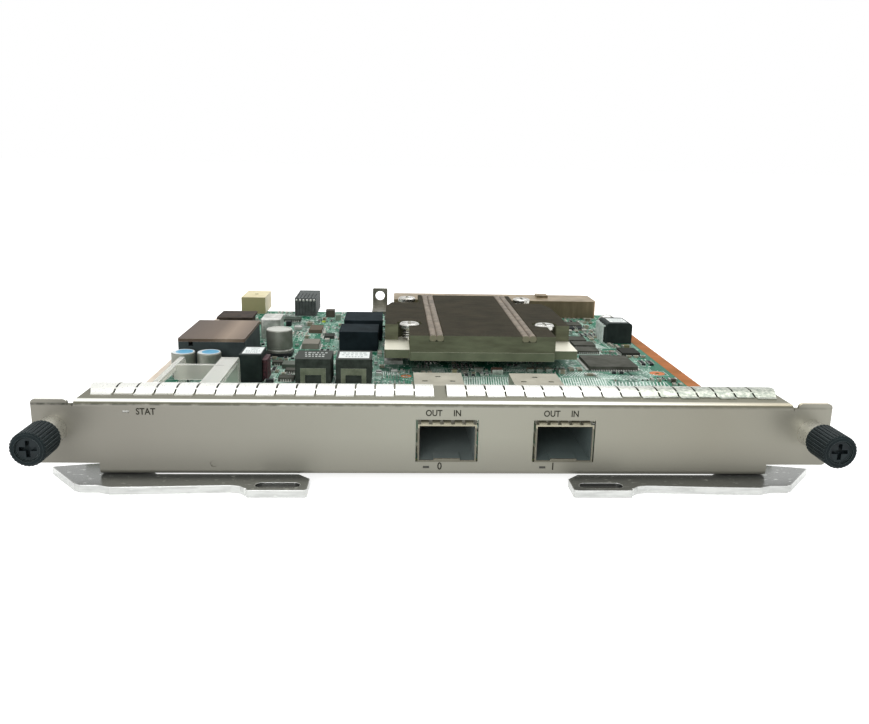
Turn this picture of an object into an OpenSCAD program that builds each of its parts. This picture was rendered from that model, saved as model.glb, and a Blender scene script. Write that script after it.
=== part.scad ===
// Switch line card: a folded front panel, a board with its parts, two port cages,
// a fin cooler with heat pipes, two captive thumbscrews and two swinging levers.
// Millimetres. X runs along the panel, Y runs back from it, Z runs up.

/* [Front panel] */
// Width over both ears
panel_w = 198; // [190:1:210]
// Width of the step at each end, where the panel's lower part is cut away
side_step = 15.3; // [14:0.1:17]
// Width of each ear
ear_w = 8.6; // [8.4:0.1:9.4]
// Height of the folded panel
panel_h = 18.7; // [17.6:0.1:20]
// Thickness of the sheet
panel_t = 1; // [0.8:0.1:1.2]
// Outside radius of the folds
bend_r = 1.2; // [1.15:0.05:1.6]
// Depth of the top flange
flange_d = 16.6; // [16:0.2:20]
// Depth of the bottom flange
sill_d = 9.6; // [9:0.1:11]
// Height of the ears above the top flange
ear_rise = 0.5; // [0.3:0.05:1.5]
// Height of the ears' lower edge
ear_lift = 2.94; // [2.6:0.02:3.2]
// Radius of the ears' corners
ear_r = 1; // [0.5:0.1:2]
// Width of the notch between each ear and the top flange
relief_w = 1.4; // [1.2:0.1:2.5]
// Depth of that notch below the top flange
notch_drop = 0.7; // [0.4:0.1:1]
// Width of the slit that frees the fold beside the notch
relief_slit = 0.3; // [0.2:0.05:0.4]
// Length and height of the lamp slots
lamp_slot_w = 1.6; // [1.2:0.1:2]
// Height of the lamp slots
lamp_slot_h = 0.6; // [0.5:0.05:0.7]

/* [Finger gaskets] */
// Pitch of the fingers
finger_pitch = 5; // [4.8:0.02:5.2]
// Least flange left for the tapered outer end of each strip
strip_margin = 1.5; // [1:0.1:2]
// Length over which that end tapers
end_taper = 6; // [4:0.5:8]
// Width of the slit between fingers
finger_gap = 0.5; // [0.3:0.1:0.8]
// Thickness of the spring strip
finger_t = 0.25; // [0.2:0.05:0.3]
// Height of the arch over the flange
finger_rise = 1.2; // [0.8:0.1:1.5]
// Start of the strip behind the panel face
finger_front = 5.5; // [5:0.1:7]
// Length of the flat foot
finger_foot = 1.2; // [1:0.1:2]
// How much shorter every second foot is
foot_step = 0.9; // [0.5:0.1:0.9]
// Length of the clip under the flange
clip_d = 3; // [2:0.5:4]
// Clear flange between the two strips
strip_gap = 3.4; // [2:0.2:5]

/* [Thumbscrews] */
// Distance of each screw from the panel's end
screw_inset = 4.7; // [4.4:0.1:5.2]
// Height of the screws
screw_z = 11.5; // [10:0.1:12.5]
// Radius of the screw shank
screw_r = 1.5; // [1.3:0.05:1.6]
// Length of shank behind the panel face
screw_reach = 9; // [8:0.5:12]
// Outer radius of the sleeve
sleeve_r = 3.4; // [3.3:0.05:3.5]
// Length of the sleeve in front of the panel
sleeve_len = 5; // [4.6:0.1:5.4]
// Radius of the pocket in the sleeve
pocket_r = 2.6; // [2.5:0.05:2.75]
// Depth of the floor under the pocket
pocket_floor = 0.8; // [0.6:0.1:1]
// Radius of the sleeve where it goes through the panel
neck_r = 2.95; // [2.9:0.05:3]
// Radius of the clinched rim behind the panel
rim_r = 3.3; // [3.2:0.05:3.6]
// Thickness of the clinched rim
rim_t = 0.5; // [0.4:0.1:0.8]
// Travel of the screw when it is pushed in
screw_travel = 4; // [3.5:0.1:4]
// Radius of the knob
knob_r = 4.15; // [4.1:0.05:4.4]
// Length of the knob
knob_len = 9.5; // [9.4:0.1:11]
// Flutes round the knob
flute_count = 30; // [20:1:36]
// Radius of each flute
flute_r = 0.22; // [0.16:0.02:0.26]
// Chamfer of the knob's rims
knob_chamfer = 0.5; // [0.3:0.1:0.7]
// Radius of the screw's head in the knob
head_r = 2.5; // [2.3:0.1:2.7]
// Depth of the dish round the head
dish_d = 0.6; // [0.3:0.1:0.8]
// Radius of the dish round the head
dish_r = 2.9; // [2.8:0.1:3.2]
// Arm width of the cross recess
cross_w = 1; // [0.7:0.05:1.1]
// Depth of the cross recess
cross_d = 1.4; // [1:0.1:1.8]
// Thickness of the ring that holds the screw
ring_t = 0.6; // [0.5:0.1:0.8]
// Outer radius of that ring
ring_r = 2.6; // [2.4:0.1:2.8]
// Wire radius of the sleeve's spring
spring_wire_r = 0.2; // [0.15:0.05:0.2]
// Turns of the sleeve's spring
spring_turns = 6; // [5:1:7]

/* [Levers] */
// Length from the cam's tip to the handle's end
lever_len = 65.4; // [63:0.2:68]
// Distance of each cam's tip from the panel's end
lever_inset = 1.3; // [1:0.1:2]
// Thickness of the cast levers
lever_t = 2; // [1.8:0.1:2.4]
// Gap between the levers and the panel's lower edge
lever_gap = 0.3; // [0.2:0.05:0.4]
// How far the arm stands in front of the panel face
arm_front = 6.7; // [6:0.1:7.5]
// How far the arm reaches behind the panel face
arm_back = 1; // [0.5:0.1:1.5]
// Length of the handle
handle_len = 14.6; // [13:0.2:16]
// How far the handle stands in front of the arm
handle_step = 2.6; // [2:0.1:3]
// Radius of the handle's corners
handle_r = 0.9; // [0.5:0.1:1.2]
// Chamfer at the handle's inner end
handle_chamfer = 3; // [2:0.2:3.6]
// Length of the thumb recess
recess_len = 10.8; // [9:0.2:11]
// Width of the thumb recess
recess_w = 3.2; // [2.4:0.1:3.4]
// Depth of the thumb recess
recess_d = 0.5; // [0.3:0.1:0.8]
// Distance of each pivot from the panel's end
pivot_inset = 18.6; // [18.2:0.1:19.6]
// Distance of the pivots behind the panel face
pivot_y = 5.4; // [5.2:0.1:5.6]
// Radius of the pivot pins
pivot_r = 2; // [1.8:0.05:2.2]
// Radius of the lever's hub
hub_r = 4.8; // [4.6:0.1:5.2]
// Radius of the pin's head
pivot_head_r = 3.2; // [3:0.1:3.4]
// Thickness of the pin's head
pivot_head_t = 0.8; // [0.6:0.1:0.9]

/* [Circuit board] */
// Gap between each board edge and the panel's end
board_inset = 5.9; // [5:0.1:7]
// Depth of the board
board_d = 201.4; // [198:0.2:206]
// Thickness of the board
board_t = 2; // [1.6:0.1:2.1]
// Height of the board's underside above the panel's lower edge
board_lift = 1.75; // [1.7:0.05:1.9]
// Gap between the panel and the board's front edge
board_gap = 0.6; // [0.4:0.1:0.8]
// Corner notches for the cams, along X
notch_w = 9.8; // [9.4:0.1:10.5]
// Corner notches for the cams, along Y
notch_d = 14; // [12:0.5:16]
// Radius of the two plated holes
plated_r = 0.8; // [0.6:0.1:1]

/* [Port cages] */
// Centre of the first cage from the panel's centre
port_x = 1.62; // [1:0.02:2.2]
// Distance between the cages
port_pitch = 29.4; // [28:0.1:31]
// Width of a cage
cage_w = 14.6; // [14.4:0.1:14.8]
// Height of a cage
cage_h = 9.75; // [9.5:0.05:9.9]
// Length of a cage
cage_len = 50.8; // [49:0.1:52]
// Wall of a cage
cage_t = 0.4; // [0.3:0.05:0.5]
// How far a cage stands out of the panel
cage_proud = 0.7; // [0.5:0.1:1]
// Clearance round a cage in the panel
cage_clear = 0.5; // [0.4:0.05:0.6]
// Clearance over a cage in the panel
cage_top_clear = 1; // [0.9:0.05:1.1]
// Rise of the cage's contact fingers
spring_rise = 0.8; // [0.5:0.05:0.85]
// Length of the cage's contact fingers
spring_len = 4.2; // [3.5:0.1:5]

/* [Cooler] */
// Centre of the cooler from the panel's centre
sink_x = 19.4; // [17:0.1:21]
// Gap between the cooler and the rear shield
sink_gap = 21.5; // [20:0.5:24]
// Length of the cooler
sink_d = 87; // [84:0.5:90]
// Width of the front block of fins
sink_front_w = 51; // [48:0.5:53]
// Width over the wings
sink_w = 68.6; // [66:0.2:70]
// Underside of the base above the board
sink_lift = 4.9; // [4.7:0.05:5.4]
// Thickness of the base
base_t = 3.1; // [2.9:0.1:3.4]
// Height of the fins
fin_h = 5.9; // [5.6:0.1:6.4]
// Pitch of the fins
fin_pitch = 1.8; // [1.6:0.1:2.4]
// Thickness of a fin
fin_t = 0.35; // [0.3:0.05:0.5]
// Gap between the folded tops of two fins
fin_slot = 0.35; // [0.25:0.05:0.5]
// Width of one flattened heat pipe
pipe_w = 2.5; // [2.2:0.1:2.8]
// Thickness of one flattened heat pipe
pipe_t = 2.2; // [2:0.1:2.4]
// Distance between the two pairs of heat pipes
pipe_span = 32.4; // [30:0.2:35]
// Distance between the cooler's screws along X
sink_screw_x = 50.6; // [50:0.1:51.4]
// Distance between the cooler's screws along Y
sink_screw_y = 58; // [56:0.5:60]
// Distance from the cooler's front to its first screws
sink_screw_front = 22; // [21.5:0.1:23]
// Radius of the cooler screws' heads
sink_head_r = 3.7; // [3.4:0.1:3.9]
// Radius of the cooler screws' shanks
sink_shank_r = 1.2; // [1:0.05:1.3]
// Outer radius of the cooler screws' springs
sink_spring_r = 2.6; // [2.4:0.1:2.8]
// Wire radius of those springs
sink_wire_r = 0.3; // [0.2:0.05:0.3]
// Turns of those springs
sink_spring_turns = 4; // [3:1:5]
// Side of the main chip's lid
lid_w = 34; // [30:0.5:36]
// Side of the main chip's carrier
carrier_w = 40; // [37:0.5:42.5]
// Thickness of the pad under the cooler
pad_t = 0.4; // [0.3:0.05:0.5]
// Thickness of the plate under the board
back_t = 1.2; // [1:0.1:1.3]

/* [Power parts] */
// Power brick: width, depth and height
brick_w = 22.9; // [21:0.1:23.6]
// Depth of the power brick
brick_d = 33.4; // [31:0.1:34]
// Height of the power brick
brick_h = 11.4; // [10.4:0.1:12.4]
// Thickness of the brick's metal plate
brick_plate_t = 1.2; // [1:0.1:1.6]
// Gap under the brick's plate
brick_slot = 1.5; // [1:0.1:2]
// Diameter of the two coloured cans
cap_d = 7.9; // [7.2:0.1:8.1]
// Height of the two coloured cans
cap_h = 8.5; // [8:0.1:9.2]
// Diameter of the large can
can_d = 9.8; // [9.2:0.1:10]
// Height of the large can
can_h = 9.9; // [9:0.1:10.6]
// Side of an output choke
choke_w = 11.9; // [11:0.1:12.2]
// Depth of an output choke
choke_d = 12.8; // [12:0.1:13.4]
// Height of an output choke
choke_h = 8.3; // [7.6:0.1:9]
// Width of a choke's clip
strap_w = 8.4; // [7.6:0.1:9]
// Thickness of a choke's clip
strap_t = 0.4; // [0.3:0.05:0.5]

/* [Rear parts] */
// Width of the rear shield
shield_w = 97; // [94:0.5:98]
// Depth of the rear shield
shield_d = 18.5; // [17:0.1:19.5]
// Distance of the shield's front from the board's rear edge
shield_inset = 9.5; // [9:0.1:12]
// Height of the rear shield
shield_h = 8.3; // [7.8:0.1:9]
// Thickness of the shield's sheet
shield_t = 0.8; // [0.6:0.1:1]
// Overhang of the connectors behind the board
overhang = 13; // [11:0.5:14]
// Radius of the hole in the guide bracket
guide_hole_r = 2.3; // [2:0.1:2.5]
// Width of the guide bracket
guide_w = 7.3; // [6.8:0.1:8]
// Height of the guide bracket above the board
guide_h = 10; // [9.6:0.1:11]
// Thickness of the guide bracket
guide_t = 1.2; // [1:0.1:1.5]

/* [Hidden] */
$fn = 48;

// Common clearances and the run of every cut past the face that it opens
overrun = 0.5;
slip = 0.05;
press = 0.02;

// Heights and places that follow the panel and the board
ear_top = panel_h + ear_rise;
ear_start = panel_w / 2 - ear_w;
flange_w = 2 * (ear_start - relief_w);
panel_main_w = panel_w - 2 * side_step;
deck = board_lift + board_t;
board_w = panel_w - 2 * board_inset;
board_front = panel_t + board_gap;
board_rear = board_front + board_d;
lever_low = -lever_gap - lever_t;
front_y = -sleeve_len - knob_len;
rear_y = board_rear + overhang;
mid_y = (front_y + rear_y) / 2;
shield_front = board_rear - shield_inset;
sink_y = shield_front - sink_gap - sink_d;
screw_x = panel_w / 2 - screw_inset;
pivot_x = panel_w / 2 - pivot_inset;
lever_tip = panel_w / 2 - lever_inset;
travel_room = 0.4;
hub_under = sleeve_len + screw_travel + travel_room;
port_pos = [port_x, port_x + port_pitch];
pivot_neck_share = 0.75;
pivot_neck_r = pivot_r * pivot_neck_share;

// Lamp slots and the small rivet mark, as shares of the panel's width and height
stat_lamp_share = [-0.3866, 0.866];
port_lamp_share = [-0.35, 0.1118];
rivet_share = [-0.2826, 0.1555];
rivet_r = 0.9;
rivet_d = 0.2;

// Moves the panel's own frame to the middle of the base
module placed() translate([0, -mid_y, -lever_low]) children();

function on_board(share) = [share.x * board_w, board_front + share.y * board_d];
function arch_radius(chord, rise) = (chord * chord / 4 + rise * rise) / (2 * rise);

module left_of() mirror([1, 0, 0]) children();

// Stands a flat outline up, from the panel face back
module upright(t) translate([0, t, 0]) rotate([90, 0, 0]) linear_extrude(t) children();

// Carries a Y and Z section along X
module along_x(w) rotate([90, 0, 90]) linear_extrude(w, center = true) children();

// Carries an X and Z section back along Y
module along_y(d) translate([0, d, 0]) rotate([90, 0, 0]) linear_extrude(d) children();

// Turns the axis of a screw towards the front
module facing_front(x, z) translate([x, 0, z]) rotate([90, 0, 0]) children();

module rounded(w, d, r) {
    square([w - 2 * r, d], center = true);
    square([w, d - 2 * r], center = true);
    for (i = [-1, 1], j = [-1, 1]) translate([i * (w / 2 - r), j * (d / 2 - r)]) circle(r);
}

module stadium(w, d) {
    square([w - d, d], center = true);
    for (i = [-1, 1]) translate([i * (w - d) / 2, 0]) circle(d / 2);
}

module arch(chord, rise) {
    r = arch_radius(chord, rise);
    intersection() {
        translate([chord / 2, rise - r]) circle(r, $fn = 96);
        square([chord, rise]);
    }
}

module standing(at, w, d, h, r) translate([at.x, at.y, deck]) linear_extrude(h) rounded(w, d, r);

// Panel face, folds and ears
module ear_outline() {
    translate([ear_start + ear_w / 2, (ear_lift + ear_top) / 2])
        rounded(ear_w, ear_top - ear_lift, ear_r);
    translate([0, ear_lift])
        square([ear_start + ear_r, panel_h - bend_r - ear_lift]);
    translate([flange_w / 2 + relief_slit, ear_lift])
        square([relief_w - relief_slit + ear_r, panel_h - notch_drop - ear_lift]);
}

module face_outline() {
    translate([-panel_main_w / 2, bend_r]) square([panel_main_w, panel_h - 2 * bend_r]);
    ear_outline();
    left_of() ear_outline();
}

module lamp_slot(x, z) translate([x, z]) square([lamp_slot_w, lamp_slot_h], center = true);

module face_holes() {
    for (x = port_pos) {
        translate([x - cage_w / 2 - cage_clear, deck - cage_clear / 2])
            square([cage_w + 2 * cage_clear, cage_h + cage_clear / 2 + cage_top_clear]);
        lamp_slot(x + port_lamp_share.x * cage_w, port_lamp_share.y * panel_h);
    }
    lamp_slot(stat_lamp_share.x * panel_w, stat_lamp_share.y * panel_h);
    for (i = [-1, 1]) translate([i * screw_x, screw_z]) circle(neck_r + slip);
}

module fold_section(depth) {
    intersection() {
        difference() {
            translate([bend_r, -bend_r]) circle(bend_r);
            translate([bend_r, -bend_r]) circle(bend_r - panel_t);
        }
        translate([0, -bend_r]) square(bend_r);
    }
    translate([bend_r, -panel_t]) square([depth - bend_r, panel_t]);
}

module front_panel() color("#b3ab9d") difference() {
    union() {
        upright(panel_t) difference() {
            face_outline();
            face_holes();
        }
        translate([0, 0, panel_h]) along_x(flange_w) fold_section(flange_d);
        mirror([0, 0, 1]) along_x(panel_main_w) fold_section(sill_d);
    }
    for (i = [-1, 1]) translate([i * pivot_x, pivot_y, -overrun])
        cylinder(r = pivot_neck_r + slip, h = panel_t + 2 * overrun);
    for (x = board_screw_places) translate([x, pivot_y, -overrun])
        cylinder(r = board_screw_r + slip, h = panel_t + 2 * overrun);
    facing_front(rivet_share.x * panel_w, rivet_share.y * panel_h)
        translate([0, 0, -rivet_d]) cylinder(r = rivet_r, h = rivet_d + overrun);
}

// Finger gaskets: an arched strip with a foot on the flange and a clip round its rear edge
finger_count = floor((flange_w / 2 - strip_gap / 2 - strip_margin) / finger_pitch);
strip_len = finger_pitch * finger_count;
slit_run_share = 0.44;
front_slit_run = 1.3;
strip_shift = 0.2;
end_run = flange_w / 2 - strip_gap / 2 - strip_len - 2 * strip_shift;
module strip_section() {
    span = flange_d + finger_t - finger_front - finger_foot;
    r = arch_radius(span, finger_rise);
    translate([finger_front, 0]) square([finger_foot + finger_t, finger_t]);
    translate([finger_front + finger_foot, 0]) intersection() {
        translate([span / 2, finger_rise - r]) difference() {
            circle(r, $fn = 96);
            circle(r - finger_t, $fn = 96);
        }
        square([span, finger_rise]);
    }
    translate([flange_d, -panel_t - finger_t]) square([finger_t, panel_t + 2 * finger_t]);
    translate([flange_d - clip_d, -panel_t - finger_t]) square([clip_d + finger_t, finger_t]);
}

// Side is -1 or 1, where the strip's outer end tapers off towards the ear
module gasket(side) {
    slit_d = flange_d * slit_run_share;
    front_slit = finger_foot + foot_step + front_slit_run;
    start = strip_shift + side * (strip_gap + strip_len) / 2 - strip_len / 2;
    outer = start + (1 + side) * strip_len / 2;
    translate([0, 0, panel_h]) difference() {
        translate([start + strip_len / 2 + side * end_run / 2, 0, 0])
            along_x(strip_len + end_run) strip_section();
        translate([outer, finger_front, -flange_d / 2]) linear_extrude(flange_d)
            polygon([[0, -overrun], [2 * side * end_run, -overrun], [2 * side * end_run, 2 * end_taper]]);
        for (i = [1 : finger_count - 1])
            translate([start + i * finger_pitch - finger_gap / 2, 0, -flange_d / 2]) {
                translate([0, flange_d - slit_d, 0]) cube([finger_gap, slit_d + overrun, flange_d]);
                translate([0, finger_front - overrun, 0])
                    cube([finger_gap, front_slit + overrun, flange_d]);
            }
        for (i = [1 : 2 : finger_count - 2])
            translate([start + i * finger_pitch - finger_gap / 2, finger_front - overrun, -flange_d / 2])
                cube([finger_pitch + finger_gap, foot_step + overrun, flange_d]);
    }
}
module gasket_left() color("#d6d3cc") gasket(-1);
module gasket_right() color("#d6d3cc") gasket(1);

// Captive thumbscrews, drawn along their own axis with the panel face at zero
rim_low = -panel_t - rim_t;
pocket_low = rim_low + pocket_floor;
groove_d = 0.3;
ring_low = rim_low - slip - ring_t;
head_h = 1.8;
tip_chamfer = 0.4;
hollow_clear = 0.15;
head_top = sleeve_len + knob_len - dish_d;

module sleeve() difference() {
    union() {
        cylinder(r = sleeve_r, h = sleeve_len);
        translate([0, 0, -panel_t]) cylinder(r = neck_r, h = panel_t);
        translate([0, 0, rim_low]) cylinder(r = rim_r, h = rim_t);
    }
    translate([0, 0, rim_low - overrun]) cylinder(r = screw_r + slip, h = sleeve_len);
    translate([0, 0, pocket_low]) cylinder(r = pocket_r, h = sleeve_len + panel_t + rim_t);
}
module sleeve_left() color("#c9c8c4") facing_front(-screw_x, screw_z) sleeve();
module sleeve_right() color("#c9c8c4") facing_front(screw_x, screw_z) sleeve();

module fluted() difference() {
    circle(knob_r);
    for (i = [0 : flute_count - 1]) rotate(i * 360 / flute_count) translate([knob_r, 0])
        circle(flute_r, $fn = 16);
}

module knob() difference() {
    intersection() {
        translate([0, 0, sleeve_len]) linear_extrude(knob_len) fluted();
        translate([0, 0, sleeve_len]) rotate_extrude() polygon([
            [0, 0], [knob_r - knob_chamfer, 0], [knob_r, knob_chamfer],
            [knob_r, knob_len - knob_chamfer], [knob_r - knob_chamfer, knob_len], [0, knob_len]
        ]);
    }
    cylinder(r = sleeve_r + hollow_clear, h = hub_under);
    cylinder(r = screw_r + press, h = sleeve_len + knob_len);
    translate([0, 0, head_top - head_h]) cylinder(r = head_r + press, h = head_h + overrun + dish_d);
    translate([0, 0, head_top]) cylinder(r = dish_r, h = dish_d + overrun);
}
module knob_left() color("#1d1d1e") facing_front(-screw_x, screw_z) knob();
module knob_right() color("#1d1d1e") facing_front(screw_x, screw_z) knob();

module cross_recess() for (a = [0, 90]) rotate(a)
    translate([-head_r * cross_reach_share, -cross_w / 2, 0])
        cube([2 * head_r * cross_reach_share, cross_w, cross_d + overrun]);
cross_reach_share = 0.8;

module captive_screw() difference() {
    union() {
        translate([0, 0, -screw_reach]) cylinder(r1 = screw_r - tip_chamfer, r2 = screw_r, h = tip_chamfer);
        translate([0, 0, tip_chamfer - screw_reach])
            cylinder(r = screw_r, h = head_top + screw_reach - tip_chamfer);
        translate([0, 0, head_top - head_h]) cylinder(r = head_r, h = head_h);
    }
    translate([0, 0, ring_low - slip]) difference() {
        cylinder(r = screw_r + overrun, h = ring_t + 2 * slip);
        cylinder(r = screw_r - groove_d, h = ring_t + 2 * slip);
    }
    translate([0, 0, head_top - cross_d]) cross_recess();
}
module screw_left() color("#3a3a3a") facing_front(-screw_x, screw_z) captive_screw();
module screw_right() color("#3a3a3a") facing_front(screw_x, screw_z) captive_screw();

module screw_ring() translate([0, 0, ring_low]) difference() {
    cylinder(r = ring_r, h = ring_t);
    translate([0, 0, -overrun]) cylinder(r = screw_r - groove_d + slip, h = ring_t + 2 * overrun);
}
module screw_ring_left() color("#9a9a98") facing_front(-screw_x, screw_z) screw_ring();
module screw_ring_right() color("#9a9a98") facing_front(screw_x, screw_z) screw_ring();

// Round wire swept along a helix that rises by the given height
wire_sides = 6;
turn_steps = 12;
function helix_point(r, rise, turns, t) = [r * cos(t * turns * 360), r * sin(t * turns * 360), t * rise];
module coil(r, wire_r, rise, turns) {
    steps = turn_steps * turns;
    lift = rise - 2 * wire_r;
    rings = [for (i = [0 : steps]) let (c = helix_point(r, lift, turns, i / steps), a = i * 360 / turn_steps)
        for (k = [0 : wire_sides - 1]) let (b = k * 360 / wire_sides)
            [c.x + wire_r * cos(b) * cos(a), c.y + wire_r * cos(b) * sin(a), c.z + wire_r + wire_r * sin(b)]];
    sides = [for (i = [0 : steps - 1]) for (k = [0 : wire_sides - 1])
        let (n = (k + 1) % wire_sides, a = i * wire_sides, b = a + wire_sides)
            [a + k, b + k, b + n, a + n]];
    first = [for (k = [0 : wire_sides - 1]) k];
    last = [for (k = [wire_sides - 1 : -1 : 0]) steps * wire_sides + k];
    polyhedron(points = rings, faces = concat(sides, [first], [last]), convexity = 10);
}
module sleeve_spring() translate([0, 0, pocket_low + press])
    coil((screw_r + pocket_r) / 2, spring_wire_r, hub_under - pocket_low - 2 * press, spring_turns);
module screw_spring_left() color("#b8b8b4") facing_front(-screw_x, screw_z) sleeve_spring();
module screw_spring_right() color("#b8b8b4") facing_front(screw_x, screw_z) sleeve_spring();

// Levers: shares of the lever's length from the cam's tip, and of the arm's reach to the front
lever_shares = [
    [0, 0.87], [0.069, 1.04], [0.16, 1.21], [0.235, 1.33], [0.34, 0.85], [0.42, 0.15], [0.94, 0.15],
    [0.94, -1.2], [0.771, -1.2], [0.751, -1.02], [0.714, -0.93], [0.576, -1], [0.414, -1.08],
    [0.284, -1.12], [0.237, -0.94], [0.17, -0.925], [0.144, -0.776]
];
function lever_point(share) = [lever_tip - share.x * lever_len, share.y * arm_front];
handle_end = lever_tip - lever_len;
handle_w = arm_front + handle_step + arm_back;
head_clear = 0.2;

module handle_outline() translate([handle_end + handle_len / 2, arm_back - handle_w / 2]) difference() {
    rounded(handle_len, handle_w, handle_r);
    translate([-handle_len / 2, handle_w / 2]) rotate(45)
        square([handle_chamfer * 2, handle_chamfer * sqrt(2)], center = true);
}

module lever() translate([0, 0, lever_low]) difference() {
    linear_extrude(lever_t) {
        polygon([for (share = lever_shares) lever_point(share)]);
        translate([pivot_x, pivot_y]) circle(hub_r);
        handle_outline();
    }
    translate([handle_end + handle_len / 2, arm_back - handle_w + recess_w, lever_t - recess_d])
        linear_extrude(recess_d + overrun) stadium(recess_len, recess_w);
    translate([pivot_x, pivot_y, -overrun]) cylinder(r = pivot_r + slip, h = lever_t + 2 * overrun);
    translate([pivot_x, pivot_y, -overrun])
        cylinder(r = pivot_head_r + head_clear, h = pivot_head_t + 2 * slip + overrun);
}
module lever_right() color("#c4c5c6") lever();
module lever_left() color("#c4c5c6") left_of() lever();

module lever_pin() translate([pivot_x, pivot_y, 0]) {
    translate([0, 0, lever_low + slip]) cylinder(r = pivot_head_r, h = pivot_head_t);
    translate([0, 0, lever_low + slip]) cylinder(r = pivot_r, h = -lever_low - slip);
    cylinder(r = pivot_neck_r, h = panel_t + rim_t);
    translate([0, 0, panel_t]) cylinder(r = pivot_r, h = rim_t);
}
module lever_pins() color("#a9a9a7") {
    lever_pin();
    left_of() lever_pin();
}

// Spacers and screws that hold the board on the panel's sill
board_screw_r = 1.2;
board_screw_head_r = 2.2;
board_screw_head_h = 1.3;
spacer_r = 2.4;
board_screw_shares = [-0.82, -0.443, 0.591, 0.82];
board_screw_places = [for (s = board_screw_shares) s * pivot_x];

module board_spacers() color("#bdbdb9") for (x = board_screw_places)
    translate([x, pivot_y, panel_t]) difference() {
        cylinder(r = spacer_r, h = board_lift - panel_t);
        translate([0, 0, -overrun]) cylinder(r = board_screw_r + slip, h = board_lift + overrun);
    }

module board_screws() color("#9c9c9a") for (x = board_screw_places)
    translate([x, pivot_y, slip]) difference() {
        union() {
            cylinder(r = board_screw_r, h = deck);
            translate([0, 0, deck - slip]) cylinder(r = board_screw_head_r, h = board_screw_head_h);
        }
        for (a = [0, 90]) rotate(a)
            translate([-board_screw_r, -cross_w / 2, deck + board_screw_head_h * cross_reach_share - slip])
                cube([2 * board_screw_r, cross_w, board_screw_head_h]);
    }

// Circuit board
plated_shares = [[-0.0392, 0.4007], [0.4468, 0.4345]];
module circuit_board() color("#3f7a63") translate([0, 0, board_lift]) linear_extrude(board_t) difference() {
    translate([-board_w / 2, board_front]) square([board_w, board_d]);
    for (i = [-1, 1]) translate([i * board_w / 2, board_front])
        square([2 * notch_w, 2 * notch_d], center = true);
    for (share = plated_shares) translate(on_board(share)) circle(plated_r);
    for (x = board_screw_places) translate([x, pivot_y]) circle(board_screw_r + slip);
    for (p = sink_screws) translate(p) circle(sink_shank_r + 2 * slip);
}

// Port cages with contact fingers round the mouth, and their connectors
cage_floor_cut_share = 0.3;
top_finger_shares = [-0.38, -0.19, 0, 0.19, 0.38];
side_finger_shares = [0.3, 0.65];
finger_w_share = 0.13;
side_rise = 0.35;
vent_shares = [[0, 0.911], [-0.28, 0.81], [0.28, 0.81]];
vent_size = [1.8, 1.2];
latch_size = [6.6, 5, 0.45];

module cage_fingers() {
    for (s = top_finger_shares) translate([s * cage_w, 0, cage_h])
        along_x(finger_w_share * cage_w) arch(spring_len, spring_rise);
    for (i = [-1, 1], s = side_finger_shares)
        translate([i * cage_w / 2, 0, s * cage_h - finger_w_share * cage_w / 2])
            linear_extrude(finger_w_share * cage_w) mirror([i < 0 ? 1 : 0, 0, 0])
                mirror([1, -1, 0]) arch(spring_len, side_rise);
}

module port_cage(x) translate([x, -cage_proud, deck]) {
    difference() {
        union() {
            translate([-cage_w / 2, 0, 0]) cube([cage_w, cage_len, cage_h]);
            cage_fingers();
        }
        translate([cage_t - cage_w / 2, -overrun, cage_t])
            cube([cage_w - 2 * cage_t, cage_len - cage_t + overrun, cage_h - 2 * cage_t]);
        translate([cage_t - cage_w / 2, cage_len * (1 - cage_floor_cut_share), -overrun])
            cube([cage_w - 2 * cage_t, cage_len * cage_floor_cut_share - cage_t, cage_t + 2 * overrun]);
        for (s = vent_shares) translate([s.x * cage_w, s.y * cage_len, cage_h - cage_t])
            linear_extrude(cage_t + overrun) stadium(vent_size.x, vent_size.y);
    }
    translate([-latch_size.x / 2, 0, cage_t]) cube(latch_size);
}
module port_cage_0() color("#b9b09c") port_cage(port_pos[0]);
module port_cage_1() color("#b9b09c") port_cage(port_pos[1]);

connector_share = [0.72, 0.24, 0.64];
connector_slot_share = [0.8, 0.5, 0.18];
module port_connector(x) {
    w = cage_w * connector_share.x;
    d = cage_len * connector_share.y;
    h = cage_h * connector_share.z;
    translate([x - w / 2, cage_len - cage_proud - 2 * cage_t - d, deck]) difference() {
        cube([w, d, h]);
        translate([w * (1 - connector_slot_share.x) / 2, -overrun, h * connector_slot_share.y])
            cube([w * connector_slot_share.x, d / 2, h * connector_slot_share.z]);
    }
}
module port_connector_0() color("#2b2b2c") port_connector(port_pos[0]);
module port_connector_1() color("#2b2b2c") port_connector(port_pos[1]);

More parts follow.
